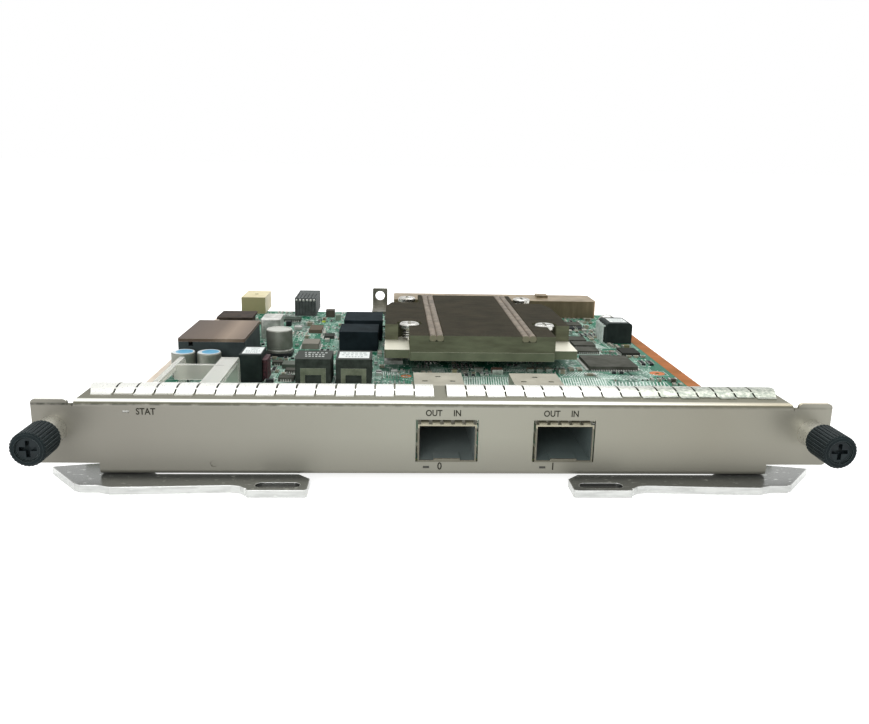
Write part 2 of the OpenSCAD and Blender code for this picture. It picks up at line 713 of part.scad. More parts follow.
// Clear light pipe: two arms from the lamp slot back to the board, joined by a web
pipe_arm_t = 1.7;
pipe_arm_top = 16.6;
pipe_rear_share = 0.272;
wide_arm_share = [-0.3325, 0.028];
thin_arm_w = 1.5;
web_share = 0.216;
web_t = 1.2;
web_h = 4.6;
light_leg = 3;
module arm_section() {
    rear = board_front + pipe_rear_share * board_d;
    start = board_front + board_gap;
    translate([start, pipe_arm_top - pipe_arm_t]) square([rear - start - pipe_arm_t, pipe_arm_t]);
    translate([rear - pipe_arm_t, pipe_arm_top - pipe_arm_t]) intersection() {
        circle(pipe_arm_t);
        square(pipe_arm_t);
    }
    translate([rear - light_leg, deck]) square([light_leg, pipe_arm_top - pipe_arm_t - deck]);
}
module light_pipe() color("#e8e8e6", 0.5) {
    thin_x = stat_lamp_share.x * panel_w;
    wide_x = wide_arm_share.x * board_w;
    wide_w = wide_arm_share.y * board_w;
    web_y = board_front + web_share * board_d;
    translate([thin_x, 0, 0]) along_x(thin_arm_w) arm_section();
    translate([wide_x, 0, 0]) along_x(wide_w) arm_section();
    translate([thin_x, web_y, pipe_arm_top - web_h]) cube([wide_x - thin_x, web_t, web_h]);
    translate([thin_x - thin_arm_w / 2, slip, stat_lamp_share.y * panel_h - lamp_slot_h / 2 + slip])
        cube([thin_arm_w, board_front + board_gap, lamp_slot_h - 2 * slip]);
}

module port_lamps() color("#dfe3dd") for (x = port_pos)
    translate([x + port_lamp_share.x * cage_w, slip, port_lamp_share.y * panel_h])
        translate([slip - lamp_slot_w / 2, 0, slip - lamp_slot_h / 2])
            cube([lamp_slot_w - 2 * slip, board_front - slip, lamp_slot_h - 2 * slip]);

// Cooler: base with ears, folded fins, pairs of flattened pipes, sprung screws
base_low = deck + sink_lift;
fin_low = base_low + base_t;
sink_top = fin_low + fin_h;
sink_screws = [for (i = [-1, 1], j = [0, 1])
    [sink_x + i * sink_screw_x / 2, sink_y + sink_screw_front + j * sink_screw_y]];
ear_step_share = 0.041;
wing_start_share = 0.218;
wing_end_share = 0.775;
rear_block_share = 0.8;
wing_chamfer_share = [0.035, 0.11];
screw_room = 1;
base_r = 0.6;
pipe_r_share = 0.4;
pipe_proud = 0.15;
pipe_start = 4;
upper_pipe_z = sink_top + pipe_proud - pipe_t / 2;
lower_pipe_z = fin_low - pipe_t / 2;

module base_outline() {
    step = ear_step_share * sink_d;
    translate([0, (sink_d + step) / 2]) rounded(sink_w, sink_d - step, base_r);
    translate([0, sink_d / 4]) rounded(sink_front_w, sink_d / 2, base_r);
}

// The wings start at a fin, so that no folded top is cut loose from its fin
module fin_outline() difference() {
    w = sink_w / 2;
    start = fin_pitch * round(wing_start_share * sink_d / fin_pitch);
    end = wing_end_share * sink_d;
    cut = [wing_chamfer_share.x * sink_w, wing_chamfer_share.y * sink_d];
    half = [
        [sink_front_w / 2, 0], [sink_front_w / 2, start], [w, start], [w, end - cut.y], [w - cut.x, end],
        [sink_front_w * rear_block_share / 2, end], [sink_front_w * rear_block_share / 2, sink_d]
    ];
    polygon(concat(half, [for (i = [len(half) - 1 : -1 : 0]) [-half[i].x, half[i].y]]));
    for (i = [-1, 1], j = [0, 1])
        translate([i * sink_screw_x / 2, sink_screw_front + j * sink_screw_y])
            circle(sink_head_r + screw_room);
}

module pipe_channels(from, low, high, grow) for (i = [-1, 1])
    translate([i * pipe_span / 2 - pipe_w - grow, from - grow, low])
        cube([2 * (pipe_w + grow), sink_d + overrun - from + grow, high - low]);

module cooler_base() color("#8f8c7e") translate([sink_x, sink_y, 0]) difference() {
    translate([0, 0, base_low]) linear_extrude(base_t) base_outline();
    pipe_channels(pipe_start, fin_low - pipe_t - press, fin_low + overrun, press);
    translate([-sink_x, -sink_y, base_low - overrun]) for (p = sink_screws) translate(p)
        cylinder(r = sink_shank_r + 2 * slip, h = base_t + 2 * overrun);
}

module fin_comb() {
    count = floor((sink_d + fin_pitch - fin_t) / fin_pitch);
    square([sink_d, fin_t]);
    for (i = [0 : count - 1]) translate([i * fin_pitch, 0]) {
        square([fin_t, fin_h]);
        translate([0, fin_h - fin_t])
            square([min(fin_pitch - fin_slot, sink_d - i * fin_pitch), fin_t]);
    }
}

module cooler_fins() color("#4b463f") translate([sink_x, sink_y, 0]) difference() {
    intersection() {
        translate([0, 0, fin_low]) along_x(sink_w) fin_comb();
        translate([0, 0, fin_low]) linear_extrude(fin_h) fin_outline();
    }
    pipe_channels(-overrun, sink_top + pipe_proud - pipe_t - press, sink_top + overrun, press);
}

module pipe_pair() for (i = [-1, 1]) translate([i * pipe_w / 2, 0])
    rounded(pipe_w, pipe_t, pipe_t * pipe_r_share);

module heat_pipe(side) translate([sink_x + side * pipe_span / 2, sink_y, 0]) {
    turn = (upper_pipe_z - lower_pipe_z) / 2;
    translate([0, 0, upper_pipe_z]) along_y(sink_d) pipe_pair();
    translate([0, pipe_start, lower_pipe_z]) along_y(sink_d - pipe_start) pipe_pair();
    translate([0, sink_d, lower_pipe_z + turn]) rotate([0, -90, 0])
        rotate_extrude(angle = 180) translate([turn, 0]) rotate(90) pipe_pair();
}
module heat_pipe_left() color("#9a7f6e") heat_pipe(-1);
module heat_pipe_right() color("#9a7f6e") heat_pipe(1);

sink_head_h = 1.7;
sink_head_dome = 0.5;
sink_head_top = sink_top + pipe_proud;
module cooler_screws() color("#c2c2bf") for (p = sink_screws) translate([p.x, p.y, 0]) difference() {
    union() {
        translate([0, 0, board_lift - back_t]) cylinder(r = sink_shank_r, h = sink_head_top - board_lift);
        translate([0, 0, sink_head_top - sink_head_h])
            cylinder(r = sink_head_r, h = sink_head_h - sink_head_dome);
        translate([0, 0, sink_head_top - sink_head_dome])
            cylinder(r1 = sink_head_r, r2 = sink_head_r - sink_head_dome, h = sink_head_dome);
    }
    for (a = [0, 90]) rotate(a)
        translate([-sink_head_r * cross_reach_share, -cross_w / 2, sink_head_top - sink_head_dome * 2])
            cube([2 * sink_head_r * cross_reach_share, cross_w, sink_head_h]);
}

module cooler_springs() color("#b4b4b0") for (p = sink_screws)
    translate([p.x, p.y, fin_low + press])
        coil(sink_spring_r - sink_wire_r, sink_wire_r,
            sink_head_top - sink_head_h - fin_low - 2 * press, sink_spring_turns);

back_margin = 4;
module cooler_back_plate() color("#a7a7a3") {
    middle = [sink_x, sink_y + sink_screw_front + sink_screw_y / 2];
    translate([middle.x, middle.y, board_lift - back_t]) linear_extrude(back_t) difference() {
        rounded(sink_screw_x + 2 * back_margin, sink_screw_y + 2 * back_margin, back_margin);
        rounded(lid_w, lid_w, back_margin);
        for (p = sink_screws) translate(p - middle) circle(sink_shank_r + slip);
    }
}

ball_h = 0.5;
ball_margin = 1.5;
carrier_t = 1.3;
chip_y_share = 0.52;
chip_middle = [sink_x, sink_y + chip_y_share * sink_d];
module main_chip() color("#2f4a46") translate([chip_middle.x, chip_middle.y, deck]) {
    linear_extrude(ball_h) square(carrier_w - 2 * ball_margin, center = true);
    translate([0, 0, ball_h]) linear_extrude(carrier_t) rounded(carrier_w, carrier_w, base_r);
}
module main_chip_lid() color("#7b7d7c")
    translate([chip_middle.x, chip_middle.y, deck + ball_h + carrier_t])
        linear_extrude(sink_lift - pad_t - ball_h - carrier_t) rounded(lid_w, lid_w, ball_margin);
module thermal_pad() color("#a8a9a5")
    translate([chip_middle.x, chip_middle.y, base_low - pad_t])
        linear_extrude(pad_t) square(lid_w - 2 * ball_margin, center = true);

// Power brick with a metal plate on a core that leaves a slot through it
brick_at = on_board([-0.4015, 0.511]);
brick_r = 0.5;
brick_core_h = brick_h - brick_plate_t - brick_slot;
brick_channel_share = 0.16;
module power_brick() color("#232326") {
    standing(brick_at, brick_w, brick_d, brick_core_h, brick_r);
    translate([brick_at.x, brick_at.y, deck + brick_core_h]) linear_extrude(brick_slot) difference() {
        rounded(brick_w, brick_d, brick_r);
        translate([-brick_w / 2 + brick_w * brick_channel_share, -brick_d])
            square([brick_slot, 2 * brick_d]);
    }
}
module power_brick_plate() color("#6a5f57") translate([0, 0, brick_h - brick_plate_t])
    standing(brick_at, brick_w, brick_d, brick_plate_t, brick_r);

converter_at = on_board([-0.4146, 0.7393]);
converter_size = [14.4, 15, 8.3];
converter_lid_t = 1;
converter_inset = 0.8;
module rear_converter() color("#39332f") {
    standing(converter_at, converter_size.x - 2 * converter_inset,
        converter_size.y - 2 * converter_inset, converter_size.z, brick_r);
    translate([0, 0, converter_size.z - converter_lid_t])
        standing(converter_at, converter_size.x, converter_size.y, converter_lid_t, brick_r);
}

// Electrolytic cans: radius and height shares of the beaded profile
can_profile_shares = [
    [0, 0], [1, 0], [1, 0.1], [0.94, 0.13], [0.94, 0.17], [1, 0.2], [1, 0.96], [0.95, 1],
    [0.84, 1], [0.82, 0.98], [0, 0.98]
];
module can(d, h) rotate_extrude($fn = 64) polygon([for (s = can_profile_shares) [s.x * d / 2, s.y * h]]);
// The small cans stand in front of the brick, the large one beside it
can_out = 0.35;
can_pair_gap = 0.75;
can_front_gap = 3.5;
can_side_gap = 3.5;
large_can_share = 0.5556;
module small_cans() color("#9fb4c4") for (i = [0, 1])
    translate([
        brick_at.x - brick_w / 2 - can_out + cap_d / 2 + i * (cap_d + can_pair_gap),
        brick_at.y - brick_d / 2 - can_front_gap - cap_d / 2, deck
    ]) can(cap_d, cap_h);
can_base_h = 1.3;
can_base_r = 1.6;
can_base_margin = 0.1;
large_can_at = [
    brick_at.x + brick_w / 2 + can_side_gap + can_base_margin + can_d / 2,
    on_board([0, large_can_share]).y
];
module large_can() color("#b0aeab")
    translate([large_can_at.x, large_can_at.y, deck + can_base_h]) can(can_d, can_h - can_base_h);
module large_can_base() color("#1f1f20")
    standing(large_can_at, can_d + 2 * can_base_margin, can_d + 2 * can_base_margin,
        can_base_h, can_base_r);

shielded_at = on_board([-0.3338, 0.722]);
shielded_size = [7.8, 14, 8];
module shielded_choke() color("#c9c8c4")
    standing(shielded_at, shielded_size.x, shielded_size.y, shielded_size.z, ball_margin);

labelled_at = on_board([-0.3170, 0.3835]);
labelled_size = [7.3, 12.5, 9.4];
winding_size = [1.6, 9, 7.2];
winding_lift = 1.2;
module labelled_transformer() color("#242526")
    standing(labelled_at, labelled_size.x, labelled_size.y, labelled_size.z, brick_r);
module transformer_winding() color("#8a4a3c") {
    translate([labelled_at.x + labelled_size.x / 2, labelled_at.y - winding_size.y / 2, deck])
        cube([winding_size.x, winding_size.y, winding_lift]);
    translate([labelled_at.x + labelled_size.x / 2 + winding_size.x / 2, labelled_at.y, deck + winding_lift])
        linear_extrude(winding_size.z - winding_lift)
            rounded(winding_size.x, winding_size.y, winding_size.x * pipe_r_share);
}

// Output chokes with a U shaped clip on their front faces
choke_gap = 1.5;
first_choke_at = on_board([-0.206, 0.3818]);
choke_places = [for (i = [0, 1]) first_choke_at + [i * (choke_w + choke_gap), 0]];
strap_leg_share = 0.18;
strap_h_share = 0.62;
strap_web = 2.3;
module output_choke(at) color("#2a2927") difference() {
    standing(at, choke_w, choke_d, choke_h, brick_r);
    translate([at.x - strap_w / 2 - press, at.y - choke_d / 2 - overrun, deck - overrun])
        cube([strap_w + 2 * press, strap_t + overrun, choke_h * strap_h_share + overrun + press]);
}
module output_choke_left() output_choke(choke_places[0]);
module output_choke_right() output_choke(choke_places[1]);
module choke_clips() color("#6e6a55") for (at = choke_places) {
    leg = strap_w * strap_leg_share;
    h = choke_h * strap_h_share;
    translate([at.x, at.y - choke_d / 2, deck]) upright(strap_t) difference() {
        translate([-strap_w / 2, 0]) square([strap_w, h]);
        translate([leg - strap_w / 2, -overrun]) square([strap_w - 2 * leg, h - strap_web + overrun]);
    }
}

// Two modules beside the cooler, one behind the other
blue_front_size = [15.1, 18.2, 7.6];
blue_rear_size = [15.6, 22.4, 8.4];
blue_front_gap = 2.8;
blue_rear_gap = 1.5;
blue_pair_gap = 1;
blue_rear_share = 0.7386;
sink_left = sink_x - sink_w / 2;
blue_rear_at = [
    sink_left - blue_rear_gap - blue_rear_size.x / 2,
    on_board([0, blue_rear_share]).y
];
blue_front_at = [
    sink_left - blue_front_gap - blue_front_size.x / 2,
    blue_rear_at.y - blue_rear_size.y / 2 - blue_pair_gap - blue_front_size.y / 2
];
blue_slot_share = 0.12;
module blue_module(at, size) difference() {
    standing(at, size.x, size.y, size.z, brick_r);
    translate([at.x - size.x / 2 - overrun, at.y + size.y * (1 / 2 - blue_slot_share), deck + size.z / 2])
        cube([size.x + 2 * overrun, size.y, size.z]);
}
module blue_module_front() color("#1b2531") blue_module(blue_front_at, blue_front_size);
module blue_module_rear() color("#171c24") blue_module(blue_rear_at, blue_rear_size);

// Right side: transformer with a rounded top, its pins and a domed choke
side_share = [0.441, 0.712];
side_size = [10.9, 13.6, 8.6];
side_r = 1.3;
side_pin = [0.7, 0.7, 7.4];
side_pin_count = 4;
side_pin_gap = 0.7;
module side_transformer() color("#262626") {
    at = on_board(side_share);
    translate([at.x, at.y - side_size.y / 2, deck + side_size.z / 2]) along_y(side_size.y) {
        rounded(side_size.x, side_size.z, side_r);
        translate([-side_size.x / 2, -side_size.z / 2]) square([side_size.x, side_size.z / 2]);
    }
}
module side_transformer_pins() color("#b9b9b6") {
    at = on_board(side_share);
    for (i = [0 : side_pin_count - 1])
        translate([at.x - side_size.x / 2 - side_pin_gap - side_pin.x,
            at.y + ((i + 1 / 2) / side_pin_count - 1 / 2) * side_size.y, deck]) {
            cube(side_pin);
            translate([0, 0, side_pin.z - side_pin.x]) cube([side_pin.x + side_pin_gap, side_pin.y, side_pin.x]);
        }
}
round_share = [0.4535, 0.8262];
round_d = 8.6;
round_h = 6.9;
module round_choke() color("#a5a5a2") {
    at = on_board(round_share);
    translate([at.x, at.y, deck]) rotate_extrude($fn = 64) {
        square([round_d / 2, round_h / 2]);
        translate([0, round_h / 2]) intersection() {
            dome_h = round_h / 2;
            translate([0, dome_h - arch_radius(round_d, dome_h)])
                circle(arch_radius(round_d, dome_h), $fn = 96);
            square([round_d / 2, round_h]);
        }
    }
}

// Flat chips; the control chip has leads on all four sides
control_share = [0.3657, 0.4935];
control_w = 18;
control_t = 1.4;
lead_out = 1;
lead_w = 0.3;
lead_pitch = 0.9;
lead_count = 19;
lead_h = 0.5;
lead_shoulder = 0.4;
module control_chip() color("#45474a") {
    at = on_board(control_share);
    translate([at.x, at.y, deck]) {
        translate([0, 0, ball_h / 2]) linear_extrude(control_t) rounded(control_w, control_w, base_r);
        linear_extrude(lead_h) for (a = [0 : 90 : 270]) rotate(a) for (i = [0 : lead_count - 1])
            translate([-control_w / 2 - lead_out, (i - (lead_count - 1) / 2) * lead_pitch - lead_w / 2])
                square([lead_out + lead_shoulder, lead_w]);
    }
}

// Small chips: place, width and depth as shares of the board, with one thickness each
chip_table_shares = [
    [0.349, 0.600, 0.0473, 0.0378, 0.62], [0.3545, 0.652, 0.0473, 0.0378, 0.62],
    [0.3463, 0.701, 0.0473, 0.0378, 0.62], [0.436, 0.589, 0.0376, 0.0472, 0.66],
    [-0.2374, 0.6226, 0.035, 0.0447, 1.1], [-0.2417, 0.7766, 0.0295, 0.0547, 0.75],
    [-0.206, 0.71, 0.022, 0.03, 0.6], [-0.225, 0.535, 0.03, 0.022, 0.55],
    [-0.31, 0.885, 0.04, 0.03, 0.6], [0.375, 0.86, 0.045, 0.04, 0.6],
    [0.322, 0.80, 0.03, 0.028, 0.5], [-0.06, 0.92, 0.05, 0.03, 0.6]
];
module small_chips() color("#303234") for (c = chip_table_shares)
    standing(on_board(c), c[2] * board_w, c[3] * board_d, c[4] * board_t, base_r / 2);

// Resistors, small capacitors and headers: place, width, depth and height shares
part_table_shares = [
    [0.053, 0.43, 0.014, 0.008, 0.55], [0.073, 0.43, 0.014, 0.008, 0.55],
    [0.100, 0.438, 0.016, 0.012, 0.7], [0.134, 0.425, 0.02, 0.022, 0.9],
    [0.200, 0.44, 0.012, 0.012, 0.6], [0.218, 0.44, 0.012, 0.012, 0.6],
    [0.236, 0.44, 0.012, 0.012, 0.6], [0.260, 0.43, 0.014, 0.012, 0.7],
    [0.456, 0.377, 0.015, 0.01, 0.65], [0.432, 0.38, 0.008, 0.006, 0.5],
    [0.420, 0.385, 0.006, 0.01, 0.45], [-0.222, 0.94, 0.022, 0.02, 1.7],
    [-0.20, 0.90, 0.012, 0.02, 1.3], [-0.233, 0.89, 0.01, 0.008, 0.7],
    [-0.262, 0.83, 0.02, 0.012, 0.8], [-0.19, 0.83, 0.01, 0.008, 0.5],
    [-0.255, 0.70, 0.012, 0.01, 0.6], [-0.208, 0.67, 0.01, 0.01, 0.6],
    [-0.26, 0.46, 0.03, 0.03, 0.8], [-0.265, 0.40, 0.01, 0.008, 0.5],
    [-0.09, 0.41, 0.01, 0.02, 0.6], [-0.085, 0.46, 0.012, 0.008, 0.5],
    [0.33, 0.77, 0.012, 0.012, 0.7], [0.35, 0.77, 0.012, 0.012, 0.9],
    [0.39, 0.79, 0.01, 0.01, 0.7], [0.405, 0.83, 0.012, 0.01, 0.8],
    [0.415, 0.66, 0.008, 0.008, 0.5], [0.40, 0.585, 0.008, 0.008, 0.6],
    [-0.01, 0.437, 0.035, 0.006, 0.6], [0.31, 0.415, 0.02, 0.008, 0.4],
    [0.445, 0.635, 0.02, 0.012, 0.7], [-0.48, 0.44, 0.008, 0.012, 0.5],
    [0.34, 0.92, 0.02, 0.012, 0.9], [0.43, 0.92, 0.02, 0.012, 0.7],
    [0.10, 0.33, 0.012, 0.008, 0.5], [0.22, 0.33, 0.012, 0.008, 0.5]
];
module small_parts() color("#a89c84") for (c = part_table_shares)
    standing(on_board(c), c[2] * board_w, c[3] * board_d, c[4] * board_t, base_r / 4);

// Rear row from the left: cream connector, ribbed connector, bracket and shield.
// The bare board edge before, between and after them is shared out.
power_conn_size = [11.2, 7.8];
signal_conn_size = [9.9, 8.4];
rear_gap_shares = [0.154, 0.237, 0.43, 0.052];
rear_free = board_w - power_conn_size.x - signal_conn_size.x - guide_w - shield_w;
power_conn_x = -board_w / 2 + rear_gap_shares[0] * rear_free + power_conn_size.x / 2;
signal_conn_x = power_conn_x + (power_conn_size.x + signal_conn_size.x) / 2 + rear_gap_shares[1] * rear_free;
guide_x = signal_conn_x + (signal_conn_size.x + guide_w) / 2 + rear_gap_shares[2] * rear_free;
shield_x = guide_x + (guide_w + shield_w) / 2 + rear_gap_shares[3] * rear_free;
power_conn_front_share = 0.966;
signal_conn_front_share = 0.945;
mark_r = 1.1;
mark_d = 0.3;
module power_connector() color("#cfc39a") {
    front = board_front + power_conn_front_share * board_d;
    x = power_conn_x;
    length = rear_y - front;
    difference() {
        translate([x - power_conn_size.x / 2, front, deck])
            cube([power_conn_size.x, length, power_conn_size.y]);
        translate([x, front + length / 2, deck + power_conn_size.y - mark_d])
            cylinder(r = mark_r, h = mark_d + overrun);
        for (i = [-1, 1]) translate([x + i * power_conn_size.x / 4, rear_y - length / 2, deck + power_conn_size.y / 2])
            translate([-mark_r / 2, 0, -power_conn_size.y / 4])
                cube([mark_r, length, power_conn_size.y / 2]);
    }
}

rib_count = 7;
rib_d = 0.5;
contact_count = 6;
contact_r = 0.4;
groove_share = 0.6;
module signal_connector() color("#35383b") {
    front = board_front + signal_conn_front_share * board_d;
    x = signal_conn_x;
    length = rear_y - front;
    w = signal_conn_size.x;
    h = signal_conn_size.y;
    difference() {
        translate([x - w / 2, front, deck]) cube([w, length, h]);
        for (i = [0 : rib_count - 1]) translate([x - w / 2 + (i + 1 / 4) * w / rib_count, front - overrun, deck])
            cube([w / rib_count / 2, rib_d + overrun, h * (1 - blue_slot_share)]);
        for (i = [0 : contact_count - 1])
            translate([x - w / 2 + (i + 1 / 2) * w / contact_count - contact_r / 2, front - overrun, deck + h - rib_d])
                cube([contact_r, length * groove_share, rib_d + overrun]);
        for (i = [0 : contact_count - 1])
            translate([x - w / 2 + (i + 1 / 2) * w / contact_count - contact_r / 2, rear_y - length / 2, deck + h / 4])
                cube([contact_r, length, h / 2]);
    }
}

tab_x_share = 0.248;
tab_size = [5.5, 6, 1.2];
shield_end_r = 1.5;
module rear_shield() color("#a8957a") {
    inner = shield_w - 2 * shield_t;
    translate([shield_x, shield_front + shield_d / 2, deck]) difference() {
        linear_extrude(shield_h) rounded(shield_w, shield_d, shield_end_r);
        translate([-inner / 2, shield_t - shield_d / 2, -overrun])
            cube([inner, shield_d, shield_h - shield_t + overrun]);
    }
    translate([shield_x + tab_x_share * shield_w - tab_size.x / 2, shield_front + shield_d / 2, deck + shield_h])
        cube([tab_size.x, tab_size.y, tab_size.z]);
}

// Backplane connectors side by side under the shield, with rows of slots in their rear faces
backplane_count = 4;
backplane_gap = 0.6;
backplane_slots = 10;
backplane_rows = 2;
slot_w_share = 0.45;
module backplane_connectors() color("#55524c") {
    front = shield_front + shield_t + backplane_gap / 2;
    pitch = (shield_w - 2 * shield_t) / backplane_count;
    w = pitch - backplane_gap;
    h = shield_h - shield_t - slip;
    cell = [w / backplane_slots, h / backplane_rows];
    for (k = [0 : backplane_count - 1])
        translate([shield_x + (k - (backplane_count - 1) / 2) * pitch - w / 2, front, deck])
            difference() {
                cube([w, rear_y - front, h]);
                for (i = [0 : backplane_slots - 1], j = [0 : backplane_rows - 1])
                    translate([(i + (1 - slot_w_share) / 2) * cell.x, overhang, (j + 1 / 4) * cell.y])
                        cube([cell.x * slot_w_share, rear_y - front, cell.y / 2]);
            }
}

guide_foot_share = 0.982;
module guide_bracket() color("#8d8a84") {
    front = board_front + guide_foot_share * board_d;
    translate([guide_x - guide_w / 2, front, deck]) cube([guide_w, rear_y - front, guide_t]);
    translate([guide_x, rear_y - guide_t, deck]) upright(guide_t) difference() {
        translate([0, guide_h / 2]) rounded(guide_w, guide_h, base_r);
        translate([0, guide_h - guide_w / 2]) circle(guide_hole_r);
    }
}

placed() front_panel();
placed() gasket_left();
placed() gasket_right();
placed() sleeve_left();
placed() sleeve_right();
placed() knob_left();
placed() knob_right();
placed() screw_left();
placed() screw_right();
placed() screw_ring_left();
placed() screw_ring_right();
placed() screw_spring_left();
placed() screw_spring_right();
placed() lever_left();
placed() lever_right();
placed() lever_pins();
placed() board_spacers();
placed() board_screws();
placed() circuit_board();
placed() port_cage_0();
placed() port_cage_1();
placed() port_connector_0();
placed() port_connector_1();
placed() light_pipe();
placed() port_lamps();
placed() cooler_base();
placed() cooler_fins();
placed() heat_pipe_left();
placed() heat_pipe_right();
placed() cooler_screws();
placed() cooler_springs();
placed() cooler_back_plate();
placed() main_chip();
placed() main_chip_lid();
placed() thermal_pad();
placed() power_brick();
placed() power_brick_plate();
placed() rear_converter();
placed() small_cans();
placed() large_can();
placed() large_can_base();
placed() shielded_choke();
placed() labelled_transformer();
placed() transformer_winding();
placed() output_choke_left();
placed() output_choke_right();
placed() choke_clips();
placed() blue_module_front();
placed() blue_module_rear();
placed() side_transformer();
placed() side_transformer_pins();
placed() round_choke();
placed() control_chip();
placed() small_chips();
placed() small_parts();
placed() power_connector();
placed() signal_connector();
placed() rear_shield();
placed() backplane_connectors();
placed() guide_bracket();
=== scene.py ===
import math

import bpy
import numpy as np
from mathutils import Matrix, Vector


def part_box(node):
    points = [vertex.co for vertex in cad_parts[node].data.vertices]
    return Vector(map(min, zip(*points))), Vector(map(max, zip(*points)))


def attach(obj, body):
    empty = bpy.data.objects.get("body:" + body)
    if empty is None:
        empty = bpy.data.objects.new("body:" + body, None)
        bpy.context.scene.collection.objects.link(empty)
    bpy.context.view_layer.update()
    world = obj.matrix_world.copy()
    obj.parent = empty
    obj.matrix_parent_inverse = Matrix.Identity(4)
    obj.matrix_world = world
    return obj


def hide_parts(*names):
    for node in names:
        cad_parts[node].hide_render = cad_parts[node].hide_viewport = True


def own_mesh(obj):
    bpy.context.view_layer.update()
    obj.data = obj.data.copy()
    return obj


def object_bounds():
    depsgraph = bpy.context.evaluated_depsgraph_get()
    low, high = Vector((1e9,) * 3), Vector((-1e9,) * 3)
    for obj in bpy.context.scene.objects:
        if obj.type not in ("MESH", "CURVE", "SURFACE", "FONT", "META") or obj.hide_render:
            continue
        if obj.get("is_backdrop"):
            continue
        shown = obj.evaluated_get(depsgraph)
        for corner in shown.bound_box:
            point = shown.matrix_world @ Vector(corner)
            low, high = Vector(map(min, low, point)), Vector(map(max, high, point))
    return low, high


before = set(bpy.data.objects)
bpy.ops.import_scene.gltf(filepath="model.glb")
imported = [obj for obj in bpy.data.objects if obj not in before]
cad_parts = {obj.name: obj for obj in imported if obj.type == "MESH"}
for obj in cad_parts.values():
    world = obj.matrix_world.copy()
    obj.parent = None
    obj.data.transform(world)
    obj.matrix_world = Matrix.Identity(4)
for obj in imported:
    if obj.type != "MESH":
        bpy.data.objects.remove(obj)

# Switch line card: finishes, print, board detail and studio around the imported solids.
# Panel places are millimetres from the middle of the panel's lower front edge,
# with x along the panel, y back from its face and z up. Blender's own lengths are metres.

mm = 0.001
cadBounds = [list(corner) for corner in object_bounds()]
panelLow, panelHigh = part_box("front_panel")
leverGap = 0.3  # height of the panel's lower edge above the levers
origin = Vector(((panelLow.x + panelHigh.x) / 2, panelLow.y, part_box("lever_left")[1].z + leverGap * mm))


def onPanel(x, y, z):  # panel place in mm to the row frame in metres
    return origin + Vector((x, y, z)) * mm


def inPanel(point):  # row frame in metres to a panel place in mm
    return (np.asarray(point, float) - np.array(origin)) / mm


def nodeBox(name):  # lowest and highest corner of a node as panel places
    low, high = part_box(name)
    return inPanel(low), inPanel(high)


def meshPlaces(name):  # a node's vertices as panel places
    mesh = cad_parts[name].data
    points = np.empty(len(mesh.vertices) * 3)
    mesh.vertices.foreach_get("co", points)
    return inPanel(points.reshape(-1, 3))


boardBox = nodeBox("circuit_board")
deck = boardBox[1][2]  # height of the board's upper face


# Colour and node helpers

def hexToLinear(code, alpha=1.0):
    rgb = [int(code[i:i + 2], 16) / 255 for i in (1, 3, 5)]
    return tuple(c / 12.92 if c <= 0.04045 else ((c + 0.055) / 1.055) ** 2.4 for c in rgb) + (alpha,)


def addNode(tree, kind, settings=None, inputs=None):
    # settings are node properties; inputs map a socket to a value or to another node's output
    node = tree.nodes.new(kind)
    for key, value in (settings or {}).items():
        setattr(node, key, value)
    for key, value in (inputs or {}).items():
        if isinstance(value, bpy.types.NodeSocket):
            tree.links.new(value, node.inputs[key])
        else:
            node.inputs[key].default_value = value
    return node


def addObject(name, data):
    added = bpy.data.objects.new(name, data)
    bpy.context.scene.collection.objects.link(added)
    return added


def emptyTree(owner):  # node tree of a material or world, with nothing in it
    owner.use_nodes = True
    owner.node_tree.nodes.clear()
    return owner.node_tree


def startMaterial(name, colour, metallic, roughness, **sockets):
    material = bpy.data.materials.new(name)
    tree = emptyTree(material)
    place = addNode(tree, "ShaderNodeTexCoord").outputs["Object"]
    shader = addNode(tree, "ShaderNodeBsdfPrincipled", inputs={
        "Base Color": hexToLinear(colour), "Metallic": metallic, "Roughness": roughness, **sockets})
    addNode(tree, "ShaderNodeOutputMaterial", inputs={"Surface": shader.outputs[0]})
    return material, tree, shader, place


def noiseAt(tree, place, pitch, detail=3.0, stretch=(1, 1, 1), rough=0.55):
    # pitch is the size of one blotch in millimetres; stretch lengthens it along an axis
    scaled = addNode(tree, "ShaderNodeVectorMath", {"operation": "DIVIDE"}, {0: place, 1: stretch})
    noise = addNode(tree, "ShaderNodeTexNoise", {}, {
        "Vector": scaled.outputs[0], "Scale": 1 / (pitch * mm), "Detail": detail, "Roughness": rough})
    return noise.outputs["Fac"]


def ramp(tree, factor, stops, interpolation="LINEAR"):
    node = addNode(tree, "ShaderNodeValToRGB", {}, {"Fac": factor})
    node.color_ramp.interpolation = interpolation
    elements = node.color_ramp.elements
    while len(elements) < len(stops):
        elements.new(0.5)
    for element, (position, colour) in zip(elements, stops):
        element.position = position
        element.color = hexToLinear(colour) if isinstance(colour, str) else (colour, colour, colour, 1)
    return node.outputs["Color"]


def spread(tree, value, low, high, toLow=0.0, toHigh=1.0):
    return addNode(tree, "ShaderNodeMapRange", {}, {
        "Value": value, "From Min": low, "From Max": high, "To Min": toLow, "To Max": toHigh}).outputs[0]


def times(tree, first, second):
    return addNode(tree, "ShaderNodeMath", {"operation": "MULTIPLY"}, {0: first, 1: second}).outputs[0]


def axisOf(tree, vector, axis):
    return addNode(tree, "ShaderNodeSeparateXYZ", {}, {0: vector}).outputs[axis]


